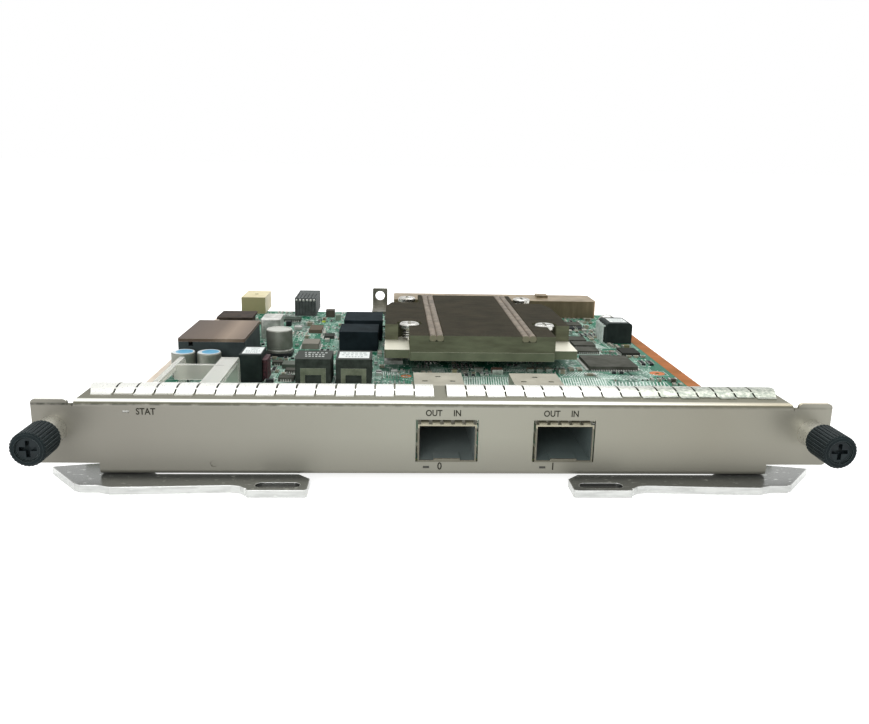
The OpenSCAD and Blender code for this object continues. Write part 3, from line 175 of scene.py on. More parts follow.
def facing(tree, axis, low=0.5, high=0.8):
    # 1 where the true surface faces along the axis; a minus sign turns it round
    normal = addNode(tree, "ShaderNodeNewGeometry").outputs["True Normal"]
    value = axisOf(tree, normal, axis[-1])
    return spread(tree, value, -low, -high) if axis[0] == "-" else spread(tree, value, low, high)


crisp = 0.05  # half width of a painted stretch's border, in millimetres


def stretchOf(tree, place, axis, low, high, soft=crisp):
    # 1 between two panel places along an axis, in millimetres, with a soft border
    value = axisOf(tree, place, axis)
    base = origin["XYZ".index(axis)]
    rise = spread(tree, value, base + (low - soft) * mm, base + (low + soft) * mm)
    fall = spread(tree, value, base + (high - soft) * mm, base + (high + soft) * mm, 1.0, 0.0)
    return times(tree, rise, fall)


def insideOf(tree, place, low, high):
    # 1 inside a box between two panel corners; corners of two numbers leave the height open
    masks = [stretchOf(tree, place, axis, start, end) for axis, start, end in zip("XYZ", low, high)]
    mask = masks.pop(0)
    for other in masks:
        mask = times(tree, mask, other)
    return mask


def overlay(tree, shader, factor, colour):
    # paints a colour over what the shader has, by a factor
    socket = shader.inputs["Base Color"]
    under = socket.links[0].from_socket if socket.is_linked else socket.default_value[:]
    over = hexToLinear(colour) if isinstance(colour, str) else colour
    mixed = addNode(tree, "ShaderNodeMix", {"data_type": "RGBA"}, {0: factor, 6: under, 7: over})
    tree.links.new(mixed.outputs[2], socket)


def blotches(tree, shader, factor, stops):
    tree.links.new(ramp(tree, factor, stops), shader.inputs["Base Color"])


def roundedNormal(tree, radius):
    return addNode(tree, "ShaderNodeBevel", {"samples": 4}, {"Radius": radius * mm}).outputs[0]


def bumpFrom(tree, shader, height, depth, edge=0.0):
    # depth and the radius that softens each edge are in millimetres
    node = addNode(tree, "ShaderNodeBump", {}, {"Height": height, "Distance": depth * mm})
    if edge:
        tree.links.new(roundedNormal(tree, edge), node.inputs["Normal"])
    tree.links.new(node.outputs[0], shader.inputs["Normal"])


def edgeLikeness(tree, radius):
    # dot product of the rounded normal and the true one: 1 on a flat face, less beside an edge
    flat = addNode(tree, "ShaderNodeNewGeometry").outputs["True Normal"]
    product = addNode(tree, "ShaderNodeVectorMath", {"operation": "DOT_PRODUCT"}, {
        0: roundedNormal(tree, radius), 1: flat})
    return product.outputs["Value"]


# lightens the faces beside each edge: partly edge wear, partly a painted highlight where edges catch the
# light
def wornEdges(tree, shader, radius, colour, amount):
    overlay(tree, shader, spread(tree, edgeLikeness(tree, radius), 0.97, 0.8, 0.0, amount), colour)


# What a surface looks like: base colour, a second colour for its blotches, and how it is worked; an edge
# colour, if given, lightens each edge, partly as wear and partly as a painted highlight.
# blotch and grain are sizes and depth a height, all in millimetres.
finishes = {
    "springStrip": dict(colour="#f6f6f1", second="#e6e7df", blotch=6, metallic=0.4, roughness=0.3,
                        grain=0.6, depth=0.0015),
    "platedSteel": dict(colour="#dddcd5", second="#c9c8bf", blotch=5, metallic=0.75, roughness=0.3,
                        grain=0.4, depth=0.006, edge=0.15, edgeWearAndHighlight="#f1f1ec"),
    "screwSteel": dict(colour="#d9d9d4", second="#b5b3ab", blotch=3, metallic=0.95, roughness=0.2,
                       grain=0.4, depth=0.006, edge=0.2),
    "mouldedKnob": dict(colour="#1c2628", second="#131b1d", blotch=3, grain=0.25, specular=0.12, edge=0.15,
                        edgeWearAndHighlight="#7d8785"),
    "blackenedScrew": dict(colour="#232c2e", second="#161c1e", blotch=2, metallic=0.3, roughness=0.45,
                           grain=0.3, specular=0.25, edge=0.1, edgeWearAndHighlight="#4c5961"),
    "springWire": dict(colour="#c9c9c4", second="#a3a39c", blotch=3, metallic=0.95, roughness=0.24,
                       depth=0.004),
    "socketPlastic": dict(colour="#3f4648", second="#2c3133", blotch=4, roughness=0.5, specular=0.3),
    "chipEpoxy": dict(colour="#5c5d56", second="#45463f", blotch=5, roughness=0.75, grain=0.18,
                      specular=0.06),
    "nickelLid": dict(colour="#8d8f8c", second="#777975", blotch=8, metallic=0.9, roughness=0.35,
                      depth=0.005),
    "thermalPad": dict(colour="#a8a9a5", second="#9a9b96", blotch=3, roughness=0.7, grain=0.3, depth=0.02),
    "pottedBrick": dict(colour="#424b4b", second="#333b3c", blotch=4, grain=0.25, depth=0.02, specular=0.12,
                        edge=0.2, edgeWearAndHighlight="#5f676b"),
    "converterCase": dict(colour="#4a3f37", second="#2c2723", blotch=3, roughness=0.65, grain=0.3,
                          depth=0.03, specular=0.08, edge=0.3, edgeWearAndHighlight="#8b7c6e"),
    "blackBase": dict(colour="#1d2122", second="#151819", blotch=3, roughness=0.5, specular=0.3),
    "transformerCase": dict(colour="#2c3532", second="#1f2725", blotch=4, specular=0.1, edge=0.2,
                            edgeWearAndHighlight="#5b6562"),
    "wrappedWinding": dict(colour="#673f45", second="#231f1f", blotch=0.9, roughness=0.55, grain=0.1,
                           depth=0.05, specular=0.2),
    "tinnedClip": dict(colour="#8e937d", second="#6c705c", blotch=3, metallic=0.25, roughness=0.5,
                       edge=0.15, edgeWearAndHighlight="#cfd1bf"),
    "blueModule": dict(colour="#222c30", second="#171f22", blotch=5, roughness=0.75, specular=0.04,
                       edge=0.2, edgeWearAndHighlight="#3f4c57"),
    "creamConnector": dict(colour="#e4dab2", second="#d3c79a", blotch=4, roughness=0.5, edge=0.15,
                           edgeWearAndHighlight="#f5efd8"),
    "greyConnector": dict(colour="#5b605f", second="#454a47", blotch=3, roughness=0.65, specular=0.12,
                          edge=0.15, edgeWearAndHighlight="#85898a"),
    "backplanePlastic": dict(colour="#4c4a45", second="#3b3935", blotch=4, roughness=0.52),
    "zincBracket": dict(colour="#8d8b80", second="#5b594f", blotch=4, metallic=0.85, roughness=0.35,
                        grain=0.3, depth=0.008, edge=0.15, edgeWearAndHighlight="#dcd9cc"),
    "tinnedEnds": dict(colour="#d6d6d1", second="#b2b3ad", blotch=1, metallic=0.9, roughness=0.28),
    "ceramicTan": dict(colour="#a9a691", second="#605e4f", blotch=2.2, roughness=0.5, depth=0.005,
                       specular=0.2),
    "resistorBlack": dict(colour="#24282a", second="#3a3e3e", blotch=1.5, depth=0.005, specular=0.1),
    "drawnAluminium": dict(colour="#9a9c93", second="#7d7f75", blotch=5, metallic=0.5, roughness=0.42,
                           grain=0.3, depth=0.006, edge=0.3, edgeWearAndHighlight="#e6e6e1"),
    "shieldedCase": dict(colour="#e4e4de", second="#9d9e96", blotch=2.6, metallic=0.5, roughness=0.34,
                         grain=0.25, depth=0.008, edge=0.3, edgeWearAndHighlight="#fbfbf8"),
    "domedChoke": dict(colour="#c4c4bf", second="#85867f", blotch=3, metallic=0.6, roughness=0.3),
    "tinnedPad": dict(colour="#f4fbf6", second="#cfe0d6", blotch=2, metallic=0.1, roughness=0.45,
                      depth=0.004, specular=0.2),
    "maskedTrace": dict(colour="#b9d8c8", second="#4f9077", blotch=12, roughness=0.5, grain=0.3,
                        depth=0.002, specular=0.2),
    "legendInk": dict(colour="#dfe8e0", second="#c3cfc6", blotch=3, depth=0.004),
    "panelInk": dict(colour="#2b2a25", second="#39382f", blotch=1.5, depth=0.004, specular=0.1),
    "copperRing": dict(colour="#d87f4c", second="#bb6a3b", blotch=2, metallic=0.1, roughness=0.5, grain=0.3,
                       depth=0.004, specular=0.1),
    "labelPaper": dict(colour="#f1f5f2", second="#e2e8e5", blotch=4, roughness=0.7, grain=0.3, depth=0.004),
    "labelPrint": dict(colour="#a3acaa", second="#c4cbc9", blotch=1, roughness=0.7, grain=0.3, depth=0.004),
    "chokePrint": dict(colour="#c3c9c4", second="#8f9691", blotch=1, roughness=0.7, grain=0.3, depth=0.004),
    "blueFilm": dict(colour="#3f9fcc", second="#6fb8d8", blotch=2, roughness=0.35, grain=0.3, depth=0.004),
    "whiteFilm": dict(colour="#e9f0f2", second="#d5dfe2", blotch=2, metallic=0.2, roughness=0.35, grain=0.3,
                      depth=0.004),
    "crystalCan": dict(colour="#cfcfca", second="#a9aaa4", blotch=2, metallic=0.4, roughness=0.3, grain=0.3,
                       depth=0.006),
    "lampDot": dict(colour="#c3d63a", second="#93ad22", blotch=1, roughness=0.3, grain=0.3, depth=0.004),
    "smokedLampBar": dict(colour="#3d3d36", second="#26261f", blotch=0.7, roughness=0.3),
    # the left strip is the same copper plating as the right one, painted pale cream as a painted reflection
    # of glare
    "glareWashedEdgeStripPlating": dict(colour="#f0e6d8", second="#d9c7b2", blotch=9, grain=0.3, depth=0.004,
                                 specular=0.08),
    "copperEdgeStripPlating": dict(colour="#b8713f", second="#97602f", blotch=9, grain=0.3, depth=0.004,
                                   specular=0.08),
}


def workedSurface(name, colour, second, blotch, metallic=0.0, roughness=0.6, grain=0.2, depth=0.01,
                  specular=0.5, edge=0.0, edgeWearAndHighlight=None, roughSwing=0.1, edgeWearAndHighlightShare=0.8):
    # broad blotches of two near colours, fine grain in roughness and height, soft edges lightened partly by
    # edge wear and partly by a painted edge highlight
    material, tree, shader, place = startMaterial(name, colour, metallic, roughness,
                                                  **{"Specular IOR Level": specular})
    broad = noiseAt(tree, place, blotch, 4.0)
    blotches(tree, shader, broad, [(0.32, second), (0.68, colour)])
    fine = noiseAt(tree, place, grain, 2.0)
    swing = spread(tree, fine, 0.0, 1.0, max(roughness - roughSwing, 0.05), roughness + roughSwing)
    tree.links.new(swing, shader.inputs["Roughness"])
    if edgeWearAndHighlight:
        wornEdges(tree, shader, edge, edgeWearAndHighlight, edgeWearAndHighlightShare)
    bumpFrom(tree, shader, fine, depth, edge)
    return material, tree, shader, place


materials = {name: workedSurface(name, **values)[0] for name, values in finishes.items()}

nodeFinish = {
    "platedSteel": ["sleeve_left", "sleeve_right", "lever_pins", "board_spacers", "board_screws",
                    "screw_ring_left", "screw_ring_right"],
    "tinnedPad": ["side_transformer_pins"],
    "screwSteel": ["cooler_screws"],
    "mouldedKnob": ["knob_left", "knob_right"],
    "blackenedScrew": ["screw_left", "screw_right"],
    "springWire": ["screw_spring_left", "screw_spring_right", "cooler_springs"],
    "socketPlastic": ["port_connector_0", "port_connector_1"],
    "chipEpoxy": ["main_chip"],
    "nickelLid": ["main_chip_lid", "cooler_back_plate"],
    "thermalPad": ["thermal_pad"],
    "pottedBrick": ["power_brick"],
    "converterCase": ["rear_converter"],
    "blackBase": ["large_can_base"],
    "transformerCase": ["labelled_transformer", "side_transformer"],
    "wrappedWinding": ["transformer_winding"],
    "tinnedClip": ["choke_clips"],
    "blueModule": ["blue_module_front", "blue_module_rear"],
    "greyConnector": ["signal_connector"],
    "backplanePlastic": ["backplane_connectors"],
    "zincBracket": ["guide_bracket"],
    "shieldedCase": ["shielded_choke"],
    "domedChoke": ["round_choke"],
    "drawnAluminium": ["small_cans"],
    "springStrip": ["gasket_left"],
    "smokedLampBar": ["port_lamps"],
}


def dress(nodeName, material):
    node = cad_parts[nodeName]
    node.data.materials.clear()
    node.data.materials.append(material)


for finishName, nodeNames in nodeFinish.items():
    for nodeName in nodeNames:
        dress(nodeName, materials[finishName])
print("plain finishes on", sum(len(names) for names in nodeFinish.values()), "nodes")


def pushSpring(side):
    nodeName = "screw_spring_" + side
    spring = addObject("pushSpring" + side.title(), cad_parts[nodeName].data.copy())
    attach(spring, "root")
    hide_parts(nodeName)
    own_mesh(spring)


for side in ("left", "right"):
    pushSpring(side)


# Folded panel of lightly brushed steel: grey face, painted shade low on it and on the flange tops, a painted
# dark line of shade and dark reflection under the fold, a painted white highlight on the fold's crown
panelSteel = dict(colour="#98978b", second="#8b8a7e", blotch=38, metallic=0.5, roughness=0.42, grain=0.35,
                  depth=0.004)
panelTones = dict(
    across=[(0.0, "#807d74"), (0.12, "#827f76"), (0.5, "#9b9b8e"), (0.85, "#8f8c7e"), (1.0, "#9b998d")],
    acrossShare=0.75, lowShade="#75736a", lowShadeZ=(-9, 5), lowShadeSoft=5, lowShadeShare=0.55,
    foldShadeLine="#3f4038", foldShadeLineZ=(17.75, 18.3), foldShadeLineSoft=0.15, ragged=2.5, fadeX=(-60, 70), faded=0.25,
    flangeShade="#545238", flangeShare=0.8, foldHighlight="#f2f3ea", foldHighlightRight="#b9b199", foldHighlightDepth=2.5,
    foldHighlightRoll=0.7, foldHighlightEnd=95)


def foldedPanel():
    material, tree, shader, place = workedSurface("panelSteel", **panelSteel)
    panelHeight = (panelHigh.z - origin.z) / mm
    alongX = axisOf(tree, place, "X")
    across = spread(tree, alongX, panelLow.x, panelHigh.x)
    overlay(tree, shader, panelTones["acrossShare"], ramp(tree, across, panelTones["across"]))
    low = stretchOf(tree, place, "Z", *panelTones["lowShadeZ"], panelTones["lowShadeSoft"])
    overlay(tree, shader, times(tree, low, panelTones["lowShadeShare"]), panelTones["lowShade"])
    # painted shade and dark reflection: a ragged dark line at the foot of the fold, fading towards the right
    front = facing(tree, "-Y", 0.3, 0.9)
    shadeLine = stretchOf(tree, place, "Z", *panelTones["foldShadeLineZ"], panelTones["foldShadeLineSoft"])
    ragged = spread(tree, noiseAt(tree, place, panelTones["ragged"], 4.0), 0.35, 0.55, 0.35, 1.0)
    start, end = (origin.x + x * mm for x in panelTones["fadeX"])
    fading = spread(tree, alongX, start, end, 1.0, panelTones["faded"])
    shadeLine = times(tree, times(tree, shadeLine, front), times(tree, ragged, fading))
    overlay(tree, shader, shadeLine, panelTones["foldShadeLine"])
    # flange tops painted darker as shade; a painted white highlight along the fold's crown, creamier to the
    # right
    top = facing(tree, "Z", 0.35, 0.7)
    overlay(tree, shader, times(tree, top, panelTones["flangeShare"]), panelTones["flangeShade"])
    foldHighlight = times(tree, stretchOf(tree, place, "Y", -1, panelTones["foldHighlightDepth"], 0.4),
                  stretchOf(tree, place, "Z", panelHeight - panelTones["foldHighlightRoll"], panelHeight + 1, 0.15))
    foldHighlightTone = ramp(tree, spread(tree, alongX, origin.x, origin.x + panelTones["foldHighlightEnd"] * mm), [
        (0.0, panelTones["foldHighlight"]), (0.35, panelTones["foldHighlight"]), (0.9, panelTones["foldHighlightRight"])])
    overlay(tree, shader, times(tree, foldHighlight, top), foldHighlightTone)
    return material


dress("front_panel", foldedPanel())


# Spring strip of bright tinned bronze; its right end is mottled with grey and green
mottling = dict(fromX=(38, 62), pitch=1.1, grey="#b3b7a5", greyShare=0.75, green="#7d887a", greenShare=0.9)


def mottledStrip():
    material, tree, shader, place = workedSurface("tinnedSpringStrip", **finishes["springStrip"])
    start, end = (origin.x + x * mm for x in mottling["fromX"])
    towardsEnd = spread(tree, axisOf(tree, place, "X"), start, end)
    speckle = ramp(tree, noiseAt(tree, place, mottling["pitch"], 4.0), [(0.4, 0.15), (0.6, 1.0)])
    green = times(tree, towardsEnd, times(tree, speckle, mottling["greenShare"]))
    overlay(tree, shader, times(tree, towardsEnd, mottling["greyShare"]), mottling["grey"])
    overlay(tree, shader, green, mottling["green"])
    return material


dress("gasket_right", mottledStrip())


# Polished casting: its sides painted bright as a painted reflection, its top painted dark as painted shade,
# and a painted white highlight along its edges
# side is a bright painted reflection, top a painted shade, edge a painted highlight
leverCasting = dict(
    side="#d0d2cf", streak="#bcbebb", top="#8a8c89", edge="#f8f9f6", scuff="#d6d8d4", metallic=0.7,
    roughness=0.26, streakPitch=0.9, edgeRadius=0.5, dimple=1.6, dimpleDepth=0.02, softEdge=0.25)
leverRecess = dict(colour="#4d4e4b", depth=0.5, flat=0.03, margin=0.1, rim=0.08, soft=0.03)


def recessOf(tree, place, nodeName):
    # the sunk field in a lever's top, found by the vertices that lie on its floor
    points = meshPlaces(nodeName)
    floor = points[:, 2].max() - leverRecess["depth"]
    field = points[np.abs(points[:, 2] - floor) < leverRecess["flat"], :2]
    margin = leverRecess["margin"]
    flat = insideOf(tree, place, field.min(axis=0) - margin, field.max(axis=0) + margin)
    top = floor + leverRecess["depth"] - leverRecess["rim"]
    return times(tree, flat, stretchOf(tree, place, "Z", floor - margin, top, leverRecess["soft"]))


def polishedCasting(side):
    material, tree, shader, place = startMaterial("polishedCasting" + side.title(), leverCasting["side"],
                                                  leverCasting["metallic"], leverCasting["roughness"])
    streak = noiseAt(tree, place, leverCasting["streakPitch"], 4.0, (6, 1, 1))
    blotches(tree, shader, streak, [(0.35, leverCasting["streak"]), (0.6, leverCasting["side"])])
    # the top painted darker as painted shade
    overlay(tree, shader, facing(tree, "Z"), leverCasting["top"])
    scuffs = noiseAt(tree, place, leverCasting["streakPitch"], 6.0, (2, 1, 1))
    overlay(tree, shader, ramp(tree, scuffs, [(0.62, 0.0), (0.68, 0.9)]), leverCasting["scuff"])
    # a painted white highlight along every edge
    wornEdges(tree, shader, leverCasting["edgeRadius"], leverCasting["edge"], 1.0)
    overlay(tree, shader, recessOf(tree, place, "lever_" + side), leverRecess["colour"])
    bumpFrom(tree, shader, noiseAt(tree, place, leverCasting["dimple"], 2.0), leverCasting["dimpleDepth"],
             leverCasting["softEdge"])
    return material


for side in ("left", "right"):
    dress("lever_" + side, polishedCasting(side))


# Port cages of pressed sheet, with painted shade inside: a dull grey-green, less metallic tone where little
# light reaches
cageSheet = dict(colour="#a5a18e", second="#8b8773", blotch=6, metallic=0.75, roughness=0.32, grain=0.4,
                 depth=0.006, edge=0.1, edgeWearAndHighlight="#dedac6")
cageInsideShade = dict(port_cage_0="#8b9593", port_cage_1="#778482")
cageLook = dict(insetLow=(0.55, 0.4, 0.2), insetHigh=(0.55, 0.2, 1.0), insideMetallic=0.1, rim="#4c4b43",
                rimShare=0.75, rimBelow=1, rimTop=1.7, rimSoft=0.1, streaks="#8d9894", streakPitch=0.8)


def cageMaterial(nodeName):
    title = nodeName.replace("_", " ").title().replace(" ", "")
    material, tree, shader, place = workedSurface(title, **cageSheet)
    low, high = nodeBox(nodeName)
    # painted shade over the inside of the cage
    inside = insideOf(tree, place, low + cageLook["insetLow"], high - cageLook["insetHigh"])
    overlay(tree, shader, inside, cageInsideShade[nodeName])
    lower = stretchOf(tree, place, "Z", low[2] - cageLook["rimBelow"], high[2] - cageLook["rimTop"],
                      cageLook["rimSoft"])
    rim = times(tree, facing(tree, "-Y", 0.5, 0.9), lower)
    overlay(tree, shader, times(tree, rim, cageLook["rimShare"]), cageLook["rim"])
    streaks = noiseAt(tree, place, cageLook["streakPitch"], 5.0, (1, 5, 1))
    faint = ramp(tree, streaks, [(0.62, 0.0), (0.72, 0.35)])
    overlay(tree, shader, times(tree, faint, inside), cageLook["streaks"])
    metallic = spread(tree, inside, 0.0, 1.0, cageSheet["metallic"], cageLook["insideMetallic"])
    tree.links.new(metallic, shader.inputs["Metallic"])
    return material


for nodeName in cageInsideShade:
    dress(nodeName, cageMaterial(nodeName))


# Plates painted lighter or darker by which way each face points, as painted light and shade; a painted tone
# may be streaked along an axis
streaked = dict(pitch=2.2, least=0.55)


def twoTone(name, litAndShadedTones, values):
    material, tree, shader, place = workedSurface(name, **values)
    for axis, colour, *stretch in litAndShadedTones:
        factor = facing(tree, axis)
        if stretch:
            streaks = noiseAt(tree, place, streaked["pitch"], 4.0, *stretch)
            factor = times(tree, factor, spread(tree, streaks, 0.3, 0.7, streaked["least"], 1.0))
        overlay(tree, shader, factor, colour)
    return material


coolerBase = dict(colour="#7d826a", second="#676c56", blotch=9, metallic=0.4, roughness=0.42, grain=0.3,
                  edge=0.25, edgeWearAndHighlight="#d6d5c2")
foldedFins = dict(colour="#3e382e", second="#2e2a23", blotch=10, roughness=0.75, grain=0.35, depth=0.02,
                  specular=0.04)
heatPipe = dict(colour="#857866", second="#51473a", blotch=3, metallic=0.3, roughness=0.45, grain=0.25,
                depth=0.02, specular=0.15, edge=0.3, edgeWearAndHighlight="#a0927f")
bronzeSheet = dict(colour="#9c8b70", second="#75684f", blotch=7, metallic=0.4, roughness=0.42, grain=0.35,
                   depth=0.006, specular=0.2, edge=0.35, edgeWearAndHighlight="#e6d3ae")
brickPlate = dict(colour="#6f5f56", second="#54473f", blotch=12, metallic=0.2, roughness=0.5, grain=0.3,
                  depth=0.006, specular=0.15, edge=0.25, edgeWearAndHighlight="#cfc6bc")
pressedFerrite = dict(colour="#4a504a", second="#363b36", blotch=2, roughness=0.75, grain=0.12, depth=0.02,
                      specular=0.06, edge=0.2, edgeWearAndHighlight="#6b706a")
# painted light: the fins' fronts lighter and olive, their sides darker; the shield's front painted in shade
# with streaks, its right end painted bright
finLitAndShadedTones = [("-Y", "#777b64", (4, 1, 1)), ("X", "#57553f"), ("-X", "#57553f")]
shieldLitAndShadedTones = [("-Y", "#655c48", (1, 1, 9)), ("X", "#c9a878")]
# painted light: the cooler base's tops bright, the heat pipes' fronts lighter, the chokes' tops greyer, the
# housing's front darker as shade, the can's top lighter
dress("cooler_base", twoTone("nickelBase", [("Z", "#e2e0ce")], coolerBase))
dress("cooler_fins", twoTone("foldedFins", finLitAndShadedTones, foldedFins))
for side in ("left", "right"):
    dress("heat_pipe_" + side, twoTone("heatPipe" + side.title(), [("-Y", "#8f8a74")], heatPipe))
    ferrite = twoTone("pressedFerrite" + side.title(), [("Z", "#4a4e4a")], pressedFerrite)
    dress("output_choke_" + side, ferrite)
dress("power_connector", twoTone("creamHousing", [("-Y", "#958f66")], finishes["creamConnector"]))
dress("large_can", twoTone("burnishedCan", [("Z", "#babcb4")], finishes["drawnAluminium"]))
dress("rear_shield", twoTone("bronzeSheet", shieldLitAndShadedTones, bronzeSheet))
brickSheenAndWear = dict(across=[(0.0, "#4b4036"), (0.5, "#675849"), (0.72, "#988673"), (1.0, "#6b5c4e")],
                  share=0.8, edgeWearAndHighlightRadius=0.2, edgeWearAndHighlightShare=0.9)


def rolledBrickPlate():
    # painted darker at the left, with a painted pinkish sheen towards the right where it takes the light
    material, tree, shader, place = workedSurface("brickPlate", **brickPlate)
    low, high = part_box("power_brick_plate")
    across = spread(tree, axisOf(tree, place, "X"), low.x, high.x)
    overlay(tree, shader, brickSheenAndWear["share"], ramp(tree, across, brickSheenAndWear["across"]))
    wornEdges(tree, shader, brickSheenAndWear["edgeWearAndHighlightRadius"], brickPlate["edgeWearAndHighlight"], brickSheenAndWear["edgeWearAndHighlightShare"])
    return material


dress("power_brick_plate", rolledBrickPlate())

chipLeads = dict(length=0.93, colour="#d2d3cd", metallic=0.9)


def leadedChip():
    # the moulded body is epoxy, and what stands out past it is tinned leads
    material, tree, shader, place = workedSurface("leadedChip", **finishes["chipEpoxy"])
    low, high = nodeBox("control_chip")
    body = insideOf(tree, place, low[:2] + chipLeads["length"], high[:2] - chipLeads["length"])
    leads = spread(tree, body, 0.0, 1.0, 1.0, 0.0)
    overlay(tree, shader, leads, chipLeads["colour"])
    tree.links.new(times(tree, leads, chipLeads["metallic"]), shader.inputs["Metallic"])
    return material


dress("control_chip", leadedChip())


# Green solder mask over glass laminate: weave under it, raw laminate at its edges, and a painted sheen of
# pale flecks growing towards the right
boardMask = dict(colour="#23775a", deep="#15543f", pitch=16, paintedSheen="#4f9379", paintedSheenX=(-20, 70), paintedSheenShare=0.45,
                 fleck=0.7, rim="#8f9a63", weave=0.55, weaveDepth=0.012, roughness=0.5, specular=0.12)


def solderMask():
    sockets = {"Specular IOR Level": boardMask["specular"]}
    material, tree, shader, place = startMaterial("solderMask", boardMask["colour"], 0.0,
                                                  boardMask["roughness"], **sockets)
    broad = noiseAt(tree, place, boardMask["pitch"], 4.0)
    blotches(tree, shader, broad, [(0.3, boardMask["deep"]), (0.7, boardMask["colour"])])
    # painted sheen: pale flecks that grow towards the right, where the mask catches the light
    start, end = (origin.x + x * mm for x in boardMask["paintedSheenX"])
    sheenSide = spread(tree, axisOf(tree, place, "X"), start, end, 0.0, boardMask["paintedSheenShare"])
    fleck = ramp(tree, noiseAt(tree, place, boardMask["fleck"], 3.0), [(0.45, 0.25), (0.6, 1.0)])
    overlay(tree, shader, times(tree, sheenSide, fleck), boardMask["paintedSheen"])
    level = addNode(tree, "ShaderNodeMath", {"operation": "ADD"}, {
        0: facing(tree, "Z", 0.2, 0.6), 1: facing(tree, "-Z", 0.2, 0.6)})
    overlay(tree, shader, spread(tree, level.outputs[0], 0, 1, 1, 0), boardMask["rim"])
    bumpFrom(tree, shader, noiseAt(tree, place, boardMask["weave"], 1.0), boardMask["weaveDepth"])
    return material


dress("circuit_board", solderMask())


# Clear moulded polycarbonate, a little wavy and milky beside its edges, partly frosting and partly a painted
# highlight
clearPlastic = dict(colour="#fffef6", roughness=0.14, refraction=1.58, transmission=0.72, edge=0.45,
                    edgeTransmission=0.15, ripple=1.8, rippleDepth=0.03, softEdge=0.2)


def frostedClear():
    sockets = {"IOR": clearPlastic["refraction"], "Transmission Weight": clearPlastic["transmission"]}
    material, tree, shader, place = startMaterial("clearPolycarbonate", clearPlastic["colour"], 0.0,
                                                  clearPlastic["roughness"], **sockets)
    # edges less clear, showing the white base colour, partly as a painted highlight
    clear = spread(tree, edgeLikeness(tree, clearPlastic["edge"]), 0.8, 0.96,
                   clearPlastic["edgeTransmission"], clearPlastic["transmission"])
    tree.links.new(clear, shader.inputs["Transmission Weight"])
    bumpFrom(tree, shader, noiseAt(tree, place, clearPlastic["ripple"], 3.0), clearPlastic["rippleDepth"],
             clearPlastic["softEdge"])
    return material


dress("light_pipe", frostedClear())
print("special finishes done")


# Mesh helpers: whole arrays in panel millimetres

def newPiece(name, vertices, faces, material):
    mesh = bpy.data.meshes.new(name)
    placed = np.asarray(vertices, float) * mm + np.array(origin)
    mesh.from_pydata(placed.tolist(), [], faces)
    mesh.validate()
    mesh.materials.append(material)
    piece = addObject(name, mesh)
    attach(piece, "root")


def atHeight(places, z):  # flat places lifted to one height
    return np.column_stack([places, np.full(len(places), z)])


# Closed block of three rings: its foot, the start of its top chamfer and its top, all as shares
blockRings = np.array([[-1, -1], [1, -1], [1, 1], [-1, 1]]) / 2
blockFaces = np.array([[3, 2, 1, 0], [0, 1, 5, 4], [1, 2, 6, 5], [2, 3, 7, 6], [3, 0, 4, 7],
                       [4, 5, 9, 8], [5, 6, 10, 9], [6, 7, 11, 10], [7, 4, 8, 11], [8, 9, 10, 11]])


def manyBlocks(name, centres, sizes, material, slotName, turns=None, chamfer=0.0):
    # centres are the middles of the feet; each foot's rectangle is turned by its own angle about z
    centres = np.atleast_2d(np.asarray(centres, float))
    sizes = np.broadcast_to(np.asarray(sizes, float), centres.shape)
    turns = np.zeros(len(centres)) if turns is None else np.asarray(turns, float)
    cut = np.minimum(chamfer, sizes.min(axis=1) * 0.45)
    rings = []
    for lift, inset in ((0.0, 0.0), (1.0, 0.0), (1.0, 1.0)):
        flat = blockRings[None] * (sizes[:, None, :2] - 2 * inset * cut[:, None, None])
        x = flat[..., 0] * np.cos(turns)[:, None] - flat[..., 1] * np.sin(turns)[:, None]
        y = flat[..., 0] * np.sin(turns)[:, None] + flat[..., 1] * np.cos(turns)[:, None]
        z = np.broadcast_to((lift * (sizes[:, 2] - (1 - inset) * cut))[:, None], x.shape)
        rings.append(np.stack([x, y, z], axis=-1) + centres[:, None])
    points = np.concatenate(rings, axis=1)
    if chamfer:
        faces = blockFaces
    else:
        points = points[:, :8]
        faces = np.vstack([blockFaces[:5], [[4, 5, 6, 7]]])
    count = points.shape[1]
    allFaces = (faces[None] + count * np.arange(len(points))[:, None, None]).reshape(-1, 4)
    newPiece(name, points.reshape(-1, 3), allFaces.tolist(), material)


def manyDiscs(name, centres, outer, height, material, inner=0.0, sides=10):
    # closed discs, or rings where inner is more than nothing: a square section carried round a circle
    centres = np.atleast_2d(np.asarray(centres, float))
    angle = np.linspace(0, 2 * np.pi, sides, endpoint=False)
    radii = np.broadcast_to(np.asarray(outer, float), (len(centres),))
    circle = np.stack([np.cos(angle), np.sin(angle)], axis=-1)
    section = [(1.0, 0.0), (1.0, height)] + ([(inner, height), (inner, 0.0)] if inner else [])
    rings = [np.concatenate([circle[None] * radii[:, None, None] * share,
                             np.full((len(centres), sides, 1), lift)], axis=-1) for share, lift in section]
    points = np.concatenate(rings, axis=1) + centres[:, None]
    step = np.arange(sides)
    following = (step + 1) % sides
    faces = []
    for k in range(len(section) if inner else 1):
        a = k * sides
        b = ((k + 1) % len(section)) * sides
        faces += np.stack([a + step, a + following, b + following, b + step], axis=-1).tolist()
    if not inner:
        faces += [(step + sides).tolist(), step[::-1].tolist()]
    count = points.shape[1]
    allFaces = [[v + count * i for v in face] for i in range(len(points)) for face in faces]
    newPiece(name, points.reshape(-1, 3), allFaces, material)


